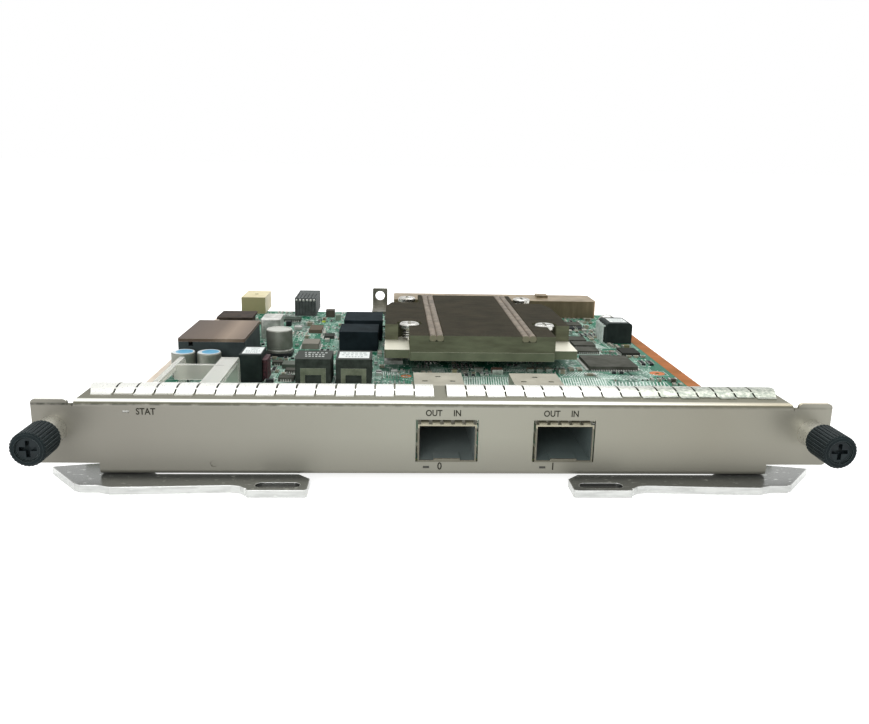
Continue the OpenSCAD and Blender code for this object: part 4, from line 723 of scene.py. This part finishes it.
def islandBoxes(nodeName):
    # boxes of a node's separate solids: vertices are merged, and labels run along edges until they settle
    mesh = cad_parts[nodeName].data
    merged, member = np.unique(np.round(meshPlaces(nodeName), 3), axis=0, return_inverse=True)
    member = member.reshape(-1)
    edges = np.empty(len(mesh.edges) * 2, dtype=np.int64)
    mesh.edges.foreach_get("vertices", edges)
    pairs = member[edges.reshape(-1, 2)]
    label = np.arange(len(merged))
    while True:
        least = label.copy()
        np.minimum.at(least, pairs[:, 0], label[pairs[:, 1]])
        np.minimum.at(least, pairs[:, 1], label[pairs[:, 0]])
        least = least[least]
        if (least == label).all():
            break
        label = least
    return [(merged[label == k].min(axis=0), merged[label == k].max(axis=0)) for k in np.unique(label)]


# Single small parts that differ from the rest of their kind: a place on each one and its colour
partTones = dict(small_chips=[(-44.2, 127, "#8d8a80"), (-45, 158, "#6b6153"), (-38.3, 144.6, "#3b3e39"),
                              (-57.7, 180, "#414b44"), (81, 120, "#2f312d")],
                 small_parts=[(-48.5, 94, "#4b564d"), (-43.4, 180.8, "#7b6b5a"), (-41.3, 190.9, "#403831"),
                              (-37.2, 182.9, "#77897a"), (-16.8, 84.2, "#303634"), (-1.9, 89.6, "#35473f"),
                              (9.9, 88.2, "#959170"), (13.6, 88.2, "#5d635c"), (18.6, 89.8, "#767b73"),
                              (25, 87.2, "#7f5b4d"), (37.2, 90.2, "#8b7b63"), (74.5, 119.4, "#96615b"),
                              (82.9, 129.5, "#6e6b49"), (84.9, 77.5, "#41392f")])


tonedEdge = 0.1
tonedShare = 0.9


def tonedParts(nodeName, finishName):
    # the kind's own finish, painted over inside the box of each part that is listed
    material, tree, shader, place = workedSurface(finishName + "Mixed", **finishes[finishName])
    boxes = islandBoxes(nodeName)
    for x, y, colour in partTones[nodeName]:
        low, high = min(boxes, key=lambda box: math.hypot(*((box[0] + box[1])[:2] / 2 - (x, y))))
        inside = insideOf(tree, place, low[:2] - tonedEdge, high[:2] + tonedEdge)
        overlay(tree, shader, times(tree, inside, tonedShare), colour)
    return material


dress("small_chips", tonedParts("small_chips", "chipEpoxy"))
dress("small_parts", tonedParts("small_parts", "ceramicTan"))


# Panel print: plain words and port numbers, as thin ink on the face
panelPrint = dict(thickness=0.03, bold=0.045, narrow=0.87, emShare=1.35, stat=("STAT", -71.8, 15.45, 1.72),
                  out=("OUT", -1.76, 15.5, 1.65), into=("IN", 4.05, 15.5, 1.65), numbers=(-0.09, 28.57),
                  numberZ=1.45, numberSize=2.0, pitch=29.4)


def inkWord(name, word, x, z, size):
    curve = bpy.data.curves.new(name, "FONT")
    curve.body = word
    curve.size = size * panelPrint["emShare"] * mm
    curve.align_x = "CENTER"
    curve.extrude = panelPrint["thickness"] / 2 * mm
    curve.offset = panelPrint["bold"] * mm
    curve.resolution_u = 3
    source = addObject(name, curve)
    mesh = bpy.data.meshes.new_from_object(source.evaluated_get(bpy.context.evaluated_depsgraph_get()))
    bpy.data.objects.remove(source)
    upright = Matrix.Rotation(math.radians(90), 4, "X")
    narrow = Matrix.Diagonal((panelPrint["narrow"], 1, 1, 1))
    mesh.transform(Matrix.Translation(onPanel(x, -panelPrint["thickness"] / 2, z)) @ upright @ narrow)
    mesh.materials.clear()
    mesh.materials.append(materials["panelInk"])
    piece = addObject(name, mesh)
    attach(piece, "root")


inkWord("printStat", *panelPrint["stat"])
for port in (0, 1):
    for key in ("out", "into"):
        word, x, z, size = panelPrint[key]
        inkWord("print" + key.title() + str(port), word, x + port * panelPrint["pitch"], z, size)
    inkWord("printNumber" + str(port), str(port), panelPrint["numbers"][port], panelPrint["numberZ"],
            panelPrint["numberSize"])
print("panel print done")


# Board print and copper
rng = np.random.default_rng(11)
boardFront = boardBox[0][1]
boardRear = boardBox[1][1]
boardSide = boardBox[1][0]
underside = boardBox[0][2]
edgeStrip = dict(width=4.7, start=15.5, end=6.0, thickness=0.035)
maskSide = boardSide - edgeStrip["width"]  # where the solder mask ends beside the bare strips


def layEdgeStrip(name, side):
    front = boardFront + edgeStrip["start"]
    length = boardRear - edgeStrip["end"] - front
    foot = (side * (boardSide - edgeStrip["width"] / 2), front + length / 2, deck)
    size = (edgeStrip["width"], length, edgeStrip["thickness"])
    manyBlocks(name, [foot], size, materials[name + "Plating"], "pipe_copper")


# the left strip painted pale as a painted reflection of glare
layEdgeStrip("glareWashedEdgeStrip", -1)
layEdgeStrip("copperEdgeStrip", 1)

platedHoles = dict(places=[(-7.3, 82.3), (83.2, 89.1)], outer=(1.9, 2.7), hole=0.8, height=0.045, free=2.6)
for index, ((x, y), outer) in enumerate(zip(platedHoles["places"], platedHoles["outer"])):
    manyDiscs("copperRing" + str(index), [(x, y, deck)], outer, platedHoles["height"],
              materials["copperRing"], inner=platedHoles["hole"] / outer, sides=32)

# Footprints of what stands on the board, and the free places between them
standing = ["power_brick", "rear_converter", "small_cans", "large_can_base", "shielded_choke",
            "labelled_transformer", "transformer_winding", "output_choke_left", "output_choke_right",
            "blue_module_front", "blue_module_rear", "side_transformer", "side_transformer_pins",
            "round_choke", "control_chip", "small_chips", "small_parts", "power_connector",
            "signal_connector", "rear_shield", "guide_bracket", "port_cage_0", "port_cage_1", "main_chip",
            "board_screws"]
footprints = []
for nodeName in standing:
    footprints += [(low[:2], high[:2]) for low, high in islandBoxes(nodeName)]
# Fan-out lines beside the cages and pads at the cooler: start x, y, lines, pitch, length, slant, width
fanOuts = [
    (11.3, 70.0, 20, 0.82, 12.0, 1.0, 0.36), (45.0, 70.5, 19, 0.86, 11.5, 1.4, 0.36),
    (-0.4, 88.0, 13, 0.56, 5.0, 0, 0.3), (29.0, 90.2, 13, 0.6, 3.2, 0, 0.3),
    (62.4, 71.0, 16, 1.2, 6.0, 1.2, 0.34), (48.0, 84.3, 12, 1.0, 5.5, 3.0, 0.3),
    (61.5, 80.5, 14, 1.25, 5.2, -2.0, 0.3), (-16.5, 84.0, 8, 0.7, 4.0, 0, 0.3),
    (60.0, 118.0, 14, 0.7, 9.0, 3.0, 0.28), (66.0, 129.0, 16, 0.6, 8.0, -2.0, 0.28),
    (-62.0, 66.0, 12, 0.8, 4.0, 0, 0.3),
]
fanOutSizes = dict(thickness=0.05, before=0.3)
for x, y, lines, pitch, length, slant, width in fanOuts:
    footprints.append((np.array([x - fanOutSizes["before"], y]), np.array([x + lines * pitch, y + length])))
for place in platedHoles["places"]:
    footprints.append((np.array(place) - platedHoles["free"], np.array(place) + platedHoles["free"]))
# Middle x, y, then width, depth and height of flat chips, bright cans and a dark block
looseParts = dict(
    chips=[(-47.3, 86.3, 4.0, 3.6, 1.3), (-47.6, 76.2, 5.2, 4.2, 1.4), (-53.4, 97.4, 3.8, 3.4, 1.4)],
    cans=[(-53.1, 160.6, 3.4, 2.6, 1.5), (-11.65, 101.0, 6.8, 3.6, 1.5), (-11.4, 88.2, 2.2, 1.2, 0.9)],
    blocks=[(-58.1, 168.2, 2.2, 2.6, 2.2)])
for x, y, width, depth, height in sum(looseParts.values(), []):
    half = np.array([width, depth]) / 2
    footprints.append((np.array([x, y]) - half, np.array([x, y]) + half))
pipeLow, pipeHigh = nodeBox("light_pipe")
pipeRaised = 30  # length of the light pipe, from its front end, that leaves the board free
footprints.append((pipeLow[:2] + np.array([0, pipeRaised]), pipeHigh[:2]))
footprintLow = np.array([low for low, high in footprints])
footprintHigh = np.array([high for low, high in footprints])
fieldGap = dict(around=0.35, side=0.6, front=10, rear=1)


def isFree(centres, half, margin=fieldGap["around"]):
    # true where a rectangle of that half size touches no footprint and stays inside the strips
    low = centres - half - margin
    high = centres + half + margin
    clash = ((low[:, None] < footprintHigh) & (high[:, None] > footprintLow)).all(axis=2).any(axis=1)
    edge = maskSide - fieldGap["side"]
    across = (low[:, 0] > -edge) & (high[:, 0] < edge)
    along = (low[:, 1] > boardFront + fieldGap["front"]) & (high[:, 1] < boardRear - fieldGap["rear"])
    return across & along & ~clash


# Traces: bundles of lanes that run back, turn by 45 degrees and run on, with a via at the end
# of about half of their stretches
traceArt = dict(bundles=330, underBundles=50, lanes=(3, 14), pitch=0.55, width=0.2, thickness=0.04,
                x=(-84, 80), y=(16, 190), run=(4, 26), slant=(2, 9), runOn=(3, 22), overlap=0.4, sideGap=0.4,
                rearGap=2, viaShare=0.5)
viaArt = dict(radius=0.3, scales=(0.75, 1.0, 1.25), height=0.06, x=(-86, 86), y=(14, 200), loose=2600,
              looseUnder=1500)


def laneSegments(x, y, lanes, run, slant, runOn, turn):
    # the lanes stay parallel because each turns later or sooner than the last by pitch * tan(22.5 degrees)
    k = np.arange(lanes)
    still = np.zeros(lanes)
    start = np.stack([x + k * traceArt["pitch"], np.full(lanes, y)], axis=-1)
    first = start + np.stack([still, run - turn * k * traceArt["pitch"] * math.tan(math.pi / 8)], axis=-1)
    second = first + np.array([turn * slant, abs(slant)])
    last = second + np.array([0, runOn])
    return np.concatenate([np.stack(ends, 1) for ends in ((start, first), (first, second), (second, last))])


def layTraces(name, z, count):
    segments = []
    for _ in range(count):
        lanes = int(rng.integers(*traceArt["lanes"]))
        x, y, run, slant, runOn = (rng.uniform(*traceArt[key]) for key in ("x", "y", "run", "slant", "runOn"))
        segments.append(laneSegments(x, y, lanes, run, slant, runOn, rng.choice([-1, 1])))
    segments = np.concatenate(segments)
    across = (np.abs(segments[..., 0]) < maskSide - traceArt["sideGap"]).all(axis=1)
    segments = segments[across & (segments[..., 1] < boardRear - traceArt["rearGap"]).all(axis=1)]
    run = segments[:, 1] - segments[:, 0]
    length = np.hypot(run[:, 0], run[:, 1]) + traceArt["width"] * traceArt["overlap"]
    sizes = atHeight(atHeight(length[:, None], traceArt["width"]), traceArt["thickness"])
    manyBlocks(name, atHeight(segments.mean(axis=1), z), sizes, materials["maskedTrace"], "board_green",
               np.arctan2(run[:, 1], run[:, 0]))
    return segments[:, 1][rng.random(len(segments)) < traceArt["viaShare"]]


def looseVias(count):
    return np.column_stack([rng.uniform(*viaArt["x"], count), rng.uniform(*viaArt["y"], count)])


def layVias(name, places, z, radii):
    manyDiscs(name, atHeight(places, z), radii, viaArt["height"], materials["tinnedPad"],
              sides=8)


viaPlaces = layTraces("boardTraces", deck, traceArt["bundles"])
underPlaces = layTraces("undersideTraces", underside - traceArt["thickness"], traceArt["underBundles"])
scattered = looseVias(viaArt["loose"])
viaPlaces = np.concatenate([viaPlaces, scattered[isFree(scattered, viaArt["radius"])]])
viaRadii = viaArt["radius"] * rng.choice(viaArt["scales"], len(viaPlaces))
layVias("boardVias", viaPlaces, deck, viaRadii)
underPlaces = np.concatenate([underPlaces, looseVias(viaArt["looseUnder"])])
layVias("undersideVias", underPlaces, underside - viaArt["height"], viaArt["radius"])


def layFanOuts():
    middles, sizes, turns = [], [], []
    for x, y, lines, pitch, length, slant, width in fanOuts:
        alongX = x + np.arange(lines) * pitch + slant / 2
        middles.append(atHeight(atHeight(alongX[:, None], y + length / 2), deck))
        sizes.append(np.tile((width, math.hypot(length, slant), fanOutSizes["thickness"]), (lines, 1)))
        turns.append(np.full(lines, -math.atan2(slant, length)))
    manyBlocks("fanOutLines", np.concatenate(middles), np.concatenate(sizes), materials["tinnedPad"],
               "board_green", np.concatenate(turns))


layFanOuts()

# Solder joints under whatever has pins through the board: two rows below each part's long sides
solderJoint = dict(pitch=2.5, radius=0.62, height=0.45, inset=1.2, endGap=2, frontGap=12, rearGap=1.5,
                   nodes=["power_brick", "rear_converter", "small_cans", "large_can_base",
                          "labelled_transformer", "output_choke_left", "output_choke_right",
                          "side_transformer", "power_connector", "signal_connector", "port_cage_0",
                          "port_cage_1", "blue_module_front", "blue_module_rear"])


def jointRows():
    rows = []
    for nodeName in solderJoint["nodes"]:
        for low, high in islandBoxes(nodeName):
            span = (high - low)[:2]
            axis = int(span[1] > span[0])
            count = max(2, int((span[axis] - solderJoint["endGap"]) / solderJoint["pitch"]))
            for side in (-1, 1):
                row = np.tile((low[:2] + high[:2]) / 2, (count, 1))
                row[:, axis] += (np.arange(count) - (count - 1) / 2) * solderJoint["pitch"]
                row[:, 1 - axis] += side * (span[1 - axis] / 2 - solderJoint["inset"])
                rows.append(row)
    rows = np.concatenate(rows)
    return rows[(rows[:, 1] > solderJoint["frontGap"]) & (rows[:, 1] < boardRear - solderJoint["rearGap"])]


manyDiscs("solderJoints", atHeight(jointRows(), underside - solderJoint["height"]), solderJoint["radius"],
          solderJoint["height"], materials["tinnedEnds"], sides=12)

# White legend frames round the larger parts
legend = dict(gap=0.55, width=0.22, thickness=0.03, least=3.0, most=40, edgeGap=0.3)


def legendFrames():
    middles, sizes = [], []
    for low, high in footprints:
        span = high - low
        if span.min() < legend["least"] or span.max() > legend["most"]:
            continue
        reach = span / 2 + legend["gap"]
        for axis in (0, 1):
            for side in (-1, 1):
                offset = np.zeros(2)
                offset[axis] = side * reach[axis]
                size = np.full(2, legend["width"])
                size[1 - axis] = 2 * reach[1 - axis]
                middles.append((low + high) / 2 + offset)
                sizes.append(size)
    middles, sizes = np.array(middles), np.array(sizes)
    edge = np.array([maskSide, boardRear]) - legend["edgeGap"]
    reached = np.column_stack([np.abs(middles[:, 0]), middles[:, 1]]) + sizes / 2
    keep = (reached < edge).all(axis=1)
    manyBlocks("legendFrames", atHeight(middles[keep], deck), atHeight(sizes[keep], legend["thickness"]),
               materials["legendInk"], "board_green")


legendFrames()
print("board print done:", len(viaPlaces), "vias")

# Small surface parts: grids of chip resistors and capacitors with tinned ends
surfaceParts = dict(clusters=620, kinds=[(1.0, 0.5, 0.4), (1.6, 0.8, 0.6), (2.0, 1.25, 0.8), (3.2, 1.6, 1.1)],
                    odds=[0.42, 0.34, 0.18, 0.06], x=(-85, 82), y=(20, 198), columns=(1, 6), rows=(1, 4),
                    spacing=(0.5, 1.1), clear=0.5, apart=0.3, uprightShare=0.5, darkShare=0.45, lift=0.03,
                    chamfer=0.06)
tinnedEnd = dict(length=0.24, grow=0.05, covered=0.9, chamfer=0.05)


def scatterParts():
    bodies, spans, turned, kind = [], [], [], []
    placedLow, placedHigh = [], []
    for _ in range(surfaceParts["clusters"]):
        size = np.array(surfaceParts["kinds"][rng.choice(4, p=surfaceParts["odds"])])
        upright = rng.random() < surfaceParts["uprightShare"]
        foot = size[1::-1] if upright else size[:2]
        columns, rows = (int(rng.integers(*surfaceParts[key])) for key in ("columns", "rows"))
        pitch = foot + rng.uniform(*surfaceParts["spacing"], 2)
        corner = np.array([rng.uniform(*surfaceParts["x"]), rng.uniform(*surfaceParts["y"])])
        steps = np.stack(np.meshgrid(np.arange(columns), np.arange(rows)), axis=-1).reshape(-1, 2)
        grid = steps * pitch + corner
        grid = grid[isFree(grid, foot / 2, surfaceParts["clear"])]
        if placedLow and len(grid):
            reach = foot / 2 + surfaceParts["apart"]
            overlap = (grid[:, None] - reach < placedHigh) & (grid[:, None] + reach > placedLow)
            grid = grid[~overlap.all(axis=2).any(axis=1)]
        dark = rng.random() < surfaceParts["darkShare"]
        for place in grid:
            bodies.append((*place, deck + surfaceParts["lift"]))
            spans.append(size)
            turned.append(math.pi / 2 if upright else 0.0)
            kind.append(dark)
            placedLow.append(place - foot / 2)
            placedHigh.append(place + foot / 2)
    return np.array(bodies), np.array(spans), np.array(turned), np.array(kind)


bodies, spans, turned, dark = scatterParts()
for name, chosen, finish, slotName in (("chipResistors", dark, "resistorBlack", "chip_epoxy"),
                                       ("chipCapacitors", ~dark, "ceramicTan", "parts_ceramic")):
    inner = spans[chosen] - np.array([tinnedEnd["length"] * 2 * tinnedEnd["covered"], 0, 0])
    manyBlocks(name, bodies[chosen], inner, materials[finish], slotName, turned[chosen],
               surfaceParts["chamfer"])
along = np.stack([np.cos(turned), np.sin(turned), np.zeros(len(turned))], axis=-1)
endShift = along * (spans[:, :1] - tinnedEnd["length"]) / 2
endSizes = spans + tinnedEnd["grow"]
endSizes[:, 0] = tinnedEnd["length"]
ends = np.concatenate([bodies - endShift, bodies + endShift])
ends[:, 2] = deck
manyBlocks("solderedEnds", ends, np.tile(endSizes, (2, 1)), materials["tinnedEnds"], "screw_dark",
           np.tile(turned, 2), tinnedEnd["chamfer"])
print("surface parts:", len(bodies))

# Tinned ends on the low and short parts of small_parts
endCap = dict(share=0.2, grow=0.06, chamfer=0.08, below=2.5, shorter=5)


def isCapped(low, high):
    return high[2] - deck < endCap["below"] and (high - low)[:2].max() < endCap["shorter"]


def endCaps(boxes):
    middles, sizes = [], []
    for low, high in boxes:
        span = high - low
        axis = int(span[1] > span[0])
        for side in (-1, 1):
            middle = (low + high) / 2
            size = span + endCap["grow"]
            size[axis] = span[axis] * endCap["share"]
            middle[axis] += side * (span[axis] * (1 - endCap["share"]) / 2 + endCap["grow"] / 2)
            middle[2] = deck
            size[2] = span[2] + endCap["grow"] / 2
            middles.append(middle)
            sizes.append(size)
    return np.array(middles), np.array(sizes)


partBoxes = [box for box in islandBoxes("small_parts") if isCapped(*box)]
manyBlocks("partTerminals", *endCaps(partBoxes), materials["tinnedEnds"], "screw_dark",
           chamfer=endCap["chamfer"])

# Gull wing leads along the two longer sides of each small chip: a foot on the board and a shoulder
gullWing = dict(pitch=0.8, endGap=0.8, width=0.36, foot=0.7, footThickness=0.18, shoulder=0.3, riseShare=0.55,
                chamfer=0.05)


def gullWings(boxes):
    middles, sizes = [], []
    for low, high in boxes:
        span = high - low
        axis = int(span[1] > span[0])
        count = int((span[axis] - gullWing["endGap"]) / gullWing["pitch"])
        offsets = (np.arange(count) - (count - 1) / 2) * gullWing["pitch"]
        foot = (gullWing["shoulder"] + gullWing["foot"] / 2, gullWing["foot"], gullWing["footThickness"])
        shoulder = (gullWing["shoulder"] / 2, gullWing["shoulder"], span[2] * gullWing["riseShare"])
        for side in (-1, 1):
            for reach, length, height in (foot, shoulder):
                place = np.tile(np.append((low + high)[:2] / 2, deck), (count, 1))
                place[:, axis] += offsets
                place[:, 1 - axis] += side * (span[1 - axis] / 2 + reach)
                size = np.full((count, 3), height)
                size[:, axis] = gullWing["width"]
                size[:, 1 - axis] = length
                middles.append(place)
                sizes.append(size)
    return np.concatenate(middles), np.concatenate(sizes)


looseSolids = {}
for kind, rows in looseParts.items():
    rows = np.array(rows)
    looseSolids[kind] = atHeight(rows[:, :2], deck), rows[:, 2:]
middles, sizes = looseSolids["chips"]
chipBoxes = list(zip(middles - sizes * (0.5, 0.5, 0), middles + sizes * (0.5, 0.5, 1)))
manyBlocks("flatChips", middles, sizes, materials["chipEpoxy"], "chip_epoxy", chamfer=0.12)
manyBlocks("gullWingLeads", *gullWings(islandBoxes("small_chips") + chipBoxes), materials["tinnedEnds"],
           "screw_dark", chamfer=gullWing["chamfer"])

# Crystal cans, a lamp and a few pins that stand in front of the cooler and at the left rear
boardLamp = dict(place=(-43.4, 176.6), size=(1.6, 0.9, 0.8), chamfer=0.15)
pinRow = dict(start=-15.5, y=79.0, pitch=1.1, count=6, size=(0.5, 0.5, 1.7), chamfer=0.12)
manyBlocks("crystalCans", *looseSolids["cans"], materials["crystalCan"], "can_aluminium", chamfer=0.25)
manyBlocks("darkBlock", *looseSolids["blocks"], materials["resistorBlack"], "chip_epoxy", chamfer=0.2)
manyBlocks("boardLamp", [(*boardLamp["place"], deck)], boardLamp["size"], materials["lampDot"],
           "clear_plastic", chamfer=boardLamp["chamfer"])
pinX = np.arange(pinRow["count"]) * pinRow["pitch"] + pinRow["start"]
manyBlocks("pinRow", atHeight(atHeight(pinX[:, None], pinRow["y"]), deck), pinRow["size"],
           materials["tinnedEnds"], "screw_dark", chamfer=pinRow["chamfer"])


# Labels and print on tops: a paper sheet a little smaller than the top, and rows of plain bars.
# Each row of bars starts and ends at a share of the sheet's width.
labelArt = dict(paper=0.06, ink=0.02, chamfer=0.02, bars=6, barShare=(0.45, 0.8), rowShare=0.7, margin=0.4)
sideRows = [(0.1, 0.9), (0.05, 0.95), (0.2, 0.8)]
labels = dict(
    transformerLabel=dict(nodeName="labelled_transformer", share=(0.86, 0.74), shift=(0.02, 0.03),
                          rows=[(0.3, 0.75), (0.35, 0.7), (0.1, 0.9), (0.15, 0.8)]),
    leftChoke=dict(nodeName="output_choke_left", share=(0.7, 0.7), shift=(0.02, 0.02), paper=None,
                   ink="chokePrint", rows=[(0.0, 1.0), (0.05, 0.9), (0.1, 0.9)]),
    rightChoke=dict(nodeName="output_choke_right", share=(0.86, 0.7), rows=sideRows),
    sideLabel=dict(nodeName="side_transformer", share=(0.66, 0.62), shift=(0.02, 0.0), rows=sideRows))


def labelOn(name, nodeName, share, rows, shift=(0.0, 0.0), paper="labelPaper", ink="labelPrint"):
    low, high = nodeBox(nodeName)
    span = (high - low)[:2]
    middle = ((low + high) / 2)[:2] + np.array(shift) * span
    size = span * np.array(share)
    top = high[2]
    if paper:
        manyBlocks(name + "Sheet", [(*middle, top)], (*size, labelArt["paper"]), materials[paper], "pad_grey",
                   chamfer=labelArt["chamfer"])
        top += labelArt["paper"]
    middles, sizes = [], []
    for row, (start, end) in enumerate(rows):
        y = middle[1] + size[1] * (0.5 - (row + labelArt["rowShare"]) / (len(rows) + labelArt["margin"]))
        depth = size[1] / (len(rows) + 1.5) * labelArt["rowShare"]
        cuts = np.linspace(start, end, labelArt["bars"] + 1)
        for a, b in zip(cuts[:-1], cuts[1:]):
            middles.append((middle[0] + size[0] * ((a + b) / 2 - 0.5), y, top))
            sizes.append(((b - a) * size[0] * rng.uniform(*labelArt["barShare"]), depth, labelArt["ink"]))
    manyBlocks(name + "Print", middles, sizes, materials[ink], "pad_grey")


for name, values in labels.items():
    labelOn(name, **values)

# Printed film on the two small cans: a white rim round a blue field, both as shares of the can's radius
canFilm = dict(white=0.95, sunk=0.17, whiteHeight=0.19, blue=0.72, blueHeight=0.05, shift=0.12)


def canFilms(index, low, high):
    radius = (high - low)[0] / 2
    x, y = ((low + high) / 2)[:2]
    manyDiscs("whiteCanTop" + str(index), [(x, y, high[2] - canFilm["sunk"])], radius * canFilm["white"],
              canFilm["whiteHeight"], materials["whiteFilm"], sides=48)
    manyDiscs("blueCanTop" + str(index), [(x + radius * canFilm["shift"], y, high[2])],
              radius * canFilm["blue"], canFilm["blueHeight"], materials["blueFilm"],
              sides=48)


for index, box in enumerate(islandBoxes("small_cans")):
    canFilms(index, *box)

# Bright tips of the signal connector's contacts in a row along its front top edge
contactTips = dict(count=6, size=(0.95, 0.9, 0.9), forward=0.1, below=1.3, chamfer=0.25)
low, high = nodeBox("signal_connector")
tipX = low[0] + (np.arange(contactTips["count"]) + 0.5) * (high[0] - low[0]) / contactTips["count"]
tips = atHeight(atHeight(tipX[:, None], low[1] - contactTips["forward"]), high[2] - contactTips["below"])
manyBlocks("contactTips", tips, contactTips["size"], materials["tinnedEnds"], "screw_dark",
           chamfer=contactTips["chamfer"])
print("labels and trim done")


# Studio: pale floor, soft lamps and a camera at the photograph's viewing angle
studio = dict(world=0.4, floorSize=14.0, floorGlow=0.78, nearest=0.005,
              keyLamp=dict(place=(0.1, 0.35, 0.75), size=0.9, power=5.5),
              fillLamp=dict(place=(-0.2, -0.7, 0.3), size=0.45, power=2.0))
photoCamera = dict(lens=34.23, sensor=36.0, place=(-12.236, -194.694, 77.262), pitch=0.241543, yaw=-0.05296,
                   roll=0.021838)


def backgroundRay(tree):
    # 1 for rays that see the background: straight from the camera, mirrored or through glass
    path = addNode(tree, "ShaderNodeLightPath")
    seen = addNode(tree, "ShaderNodeMath", {"operation": "MAXIMUM"}, {
        0: path.outputs["Is Camera Ray"], 1: path.outputs["Is Glossy Ray"]})
    return addNode(tree, "ShaderNodeMath", {"operation": "MAXIMUM"}, {
        0: seen.outputs[0], 1: path.outputs["Is Transmission Ray"]}).outputs[0]


def makeWorld():
    world = bpy.data.worlds.new("studioWorld")
    tree = emptyTree(world)
    light = addNode(tree, "ShaderNodeBackground", {}, {"Color": (1, 1, 1, 1), "Strength": studio["world"]})
    white = addNode(tree, "ShaderNodeBackground", {}, {"Color": (1, 1, 1, 1), "Strength": 1.0})
    mixed = addNode(tree, "ShaderNodeMixShader", {}, {
        0: backgroundRay(tree), 1: light.outputs[0], 2: white.outputs[0]})
    addNode(tree, "ShaderNodeOutputWorld", {}, {"Surface": mixed.outputs[0]})
    bpy.context.scene.world = world


def makeFloor():
    half = studio["floorSize"] / 2
    mesh = bpy.data.meshes.new("studioFloor")
    corners = [(-half, -half, 0), (half, -half, 0), (half, half, 0), (-half, half, 0)]
    mesh.from_pydata(corners, [], [(0, 1, 2, 3)])
    floor = addObject("studioFloor", mesh)
    material = bpy.data.materials.new("floorPaper")
    tree = emptyTree(material)
    paper = addNode(tree, "ShaderNodeBsdfDiffuse", {}, {"Color": (0.8, 0.8, 0.8, 1)})
    glow = addNode(tree, "ShaderNodeEmission", {}, {"Color": (1, 1, 1, 1), "Strength": studio["floorGlow"]})
    lit = addNode(tree, "ShaderNodeAddShader", {}, {0: paper.outputs[0], 1: glow.outputs[0]})
    mixed = addNode(tree, "ShaderNodeMixShader", {}, {
        0: backgroundRay(tree), 1: paper.outputs[0], 2: lit.outputs[0]})
    addNode(tree, "ShaderNodeOutputMaterial", {}, {"Surface": mixed.outputs[0]})
    mesh.materials.append(material)
    floor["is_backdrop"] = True


def makeLamp(name, place, size, power):
    data = bpy.data.lights.new(name, "AREA")
    data.shape = "DISK"
    data.size = size
    data.energy = power
    lamp = addObject(name, data)
    lamp.location = place
    lamp.rotation_euler = (-Vector(place)).to_track_quat("-Z", "Y").to_euler()


def makeCamera():
    pitch, yaw, roll = (photoCamera[key] for key in ("pitch", "yaw", "roll"))
    turn = Matrix.Rotation(yaw, 3, "Z")
    right = turn @ Vector((1, 0, 0))
    up = turn @ Vector((0, math.sin(pitch), math.cos(pitch)))
    ahead = turn @ Vector((0, math.cos(pitch), -math.sin(pitch)))
    rolledRight = math.cos(roll) * right + math.sin(roll) * up
    rolledUp = math.cos(roll) * up - math.sin(roll) * right
    data = bpy.data.cameras.new("photoCamera")
    data.lens = photoCamera["lens"]
    data.sensor_width = photoCamera["sensor"]
    data.sensor_fit = "HORIZONTAL"
    data.clip_start = studio["nearest"]
    camera = addObject("photoCamera", data)
    axes = Matrix((rolledRight, rolledUp, -ahead)).transposed().to_4x4()
    camera.matrix_world = Matrix.Translation(onPanel(*photoCamera["place"])) @ axes
    bpy.context.scene.camera = camera


makeWorld()
makeFloor()
for name in ("keyLamp", "fillLamp"):
    makeLamp(name, **studio[name])
makeCamera()
bpy.context.scene.view_settings.view_transform = "Standard"
print("studio ready")

sizes = {"cad": cadBounds, "visual": [list(corner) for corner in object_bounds()]}
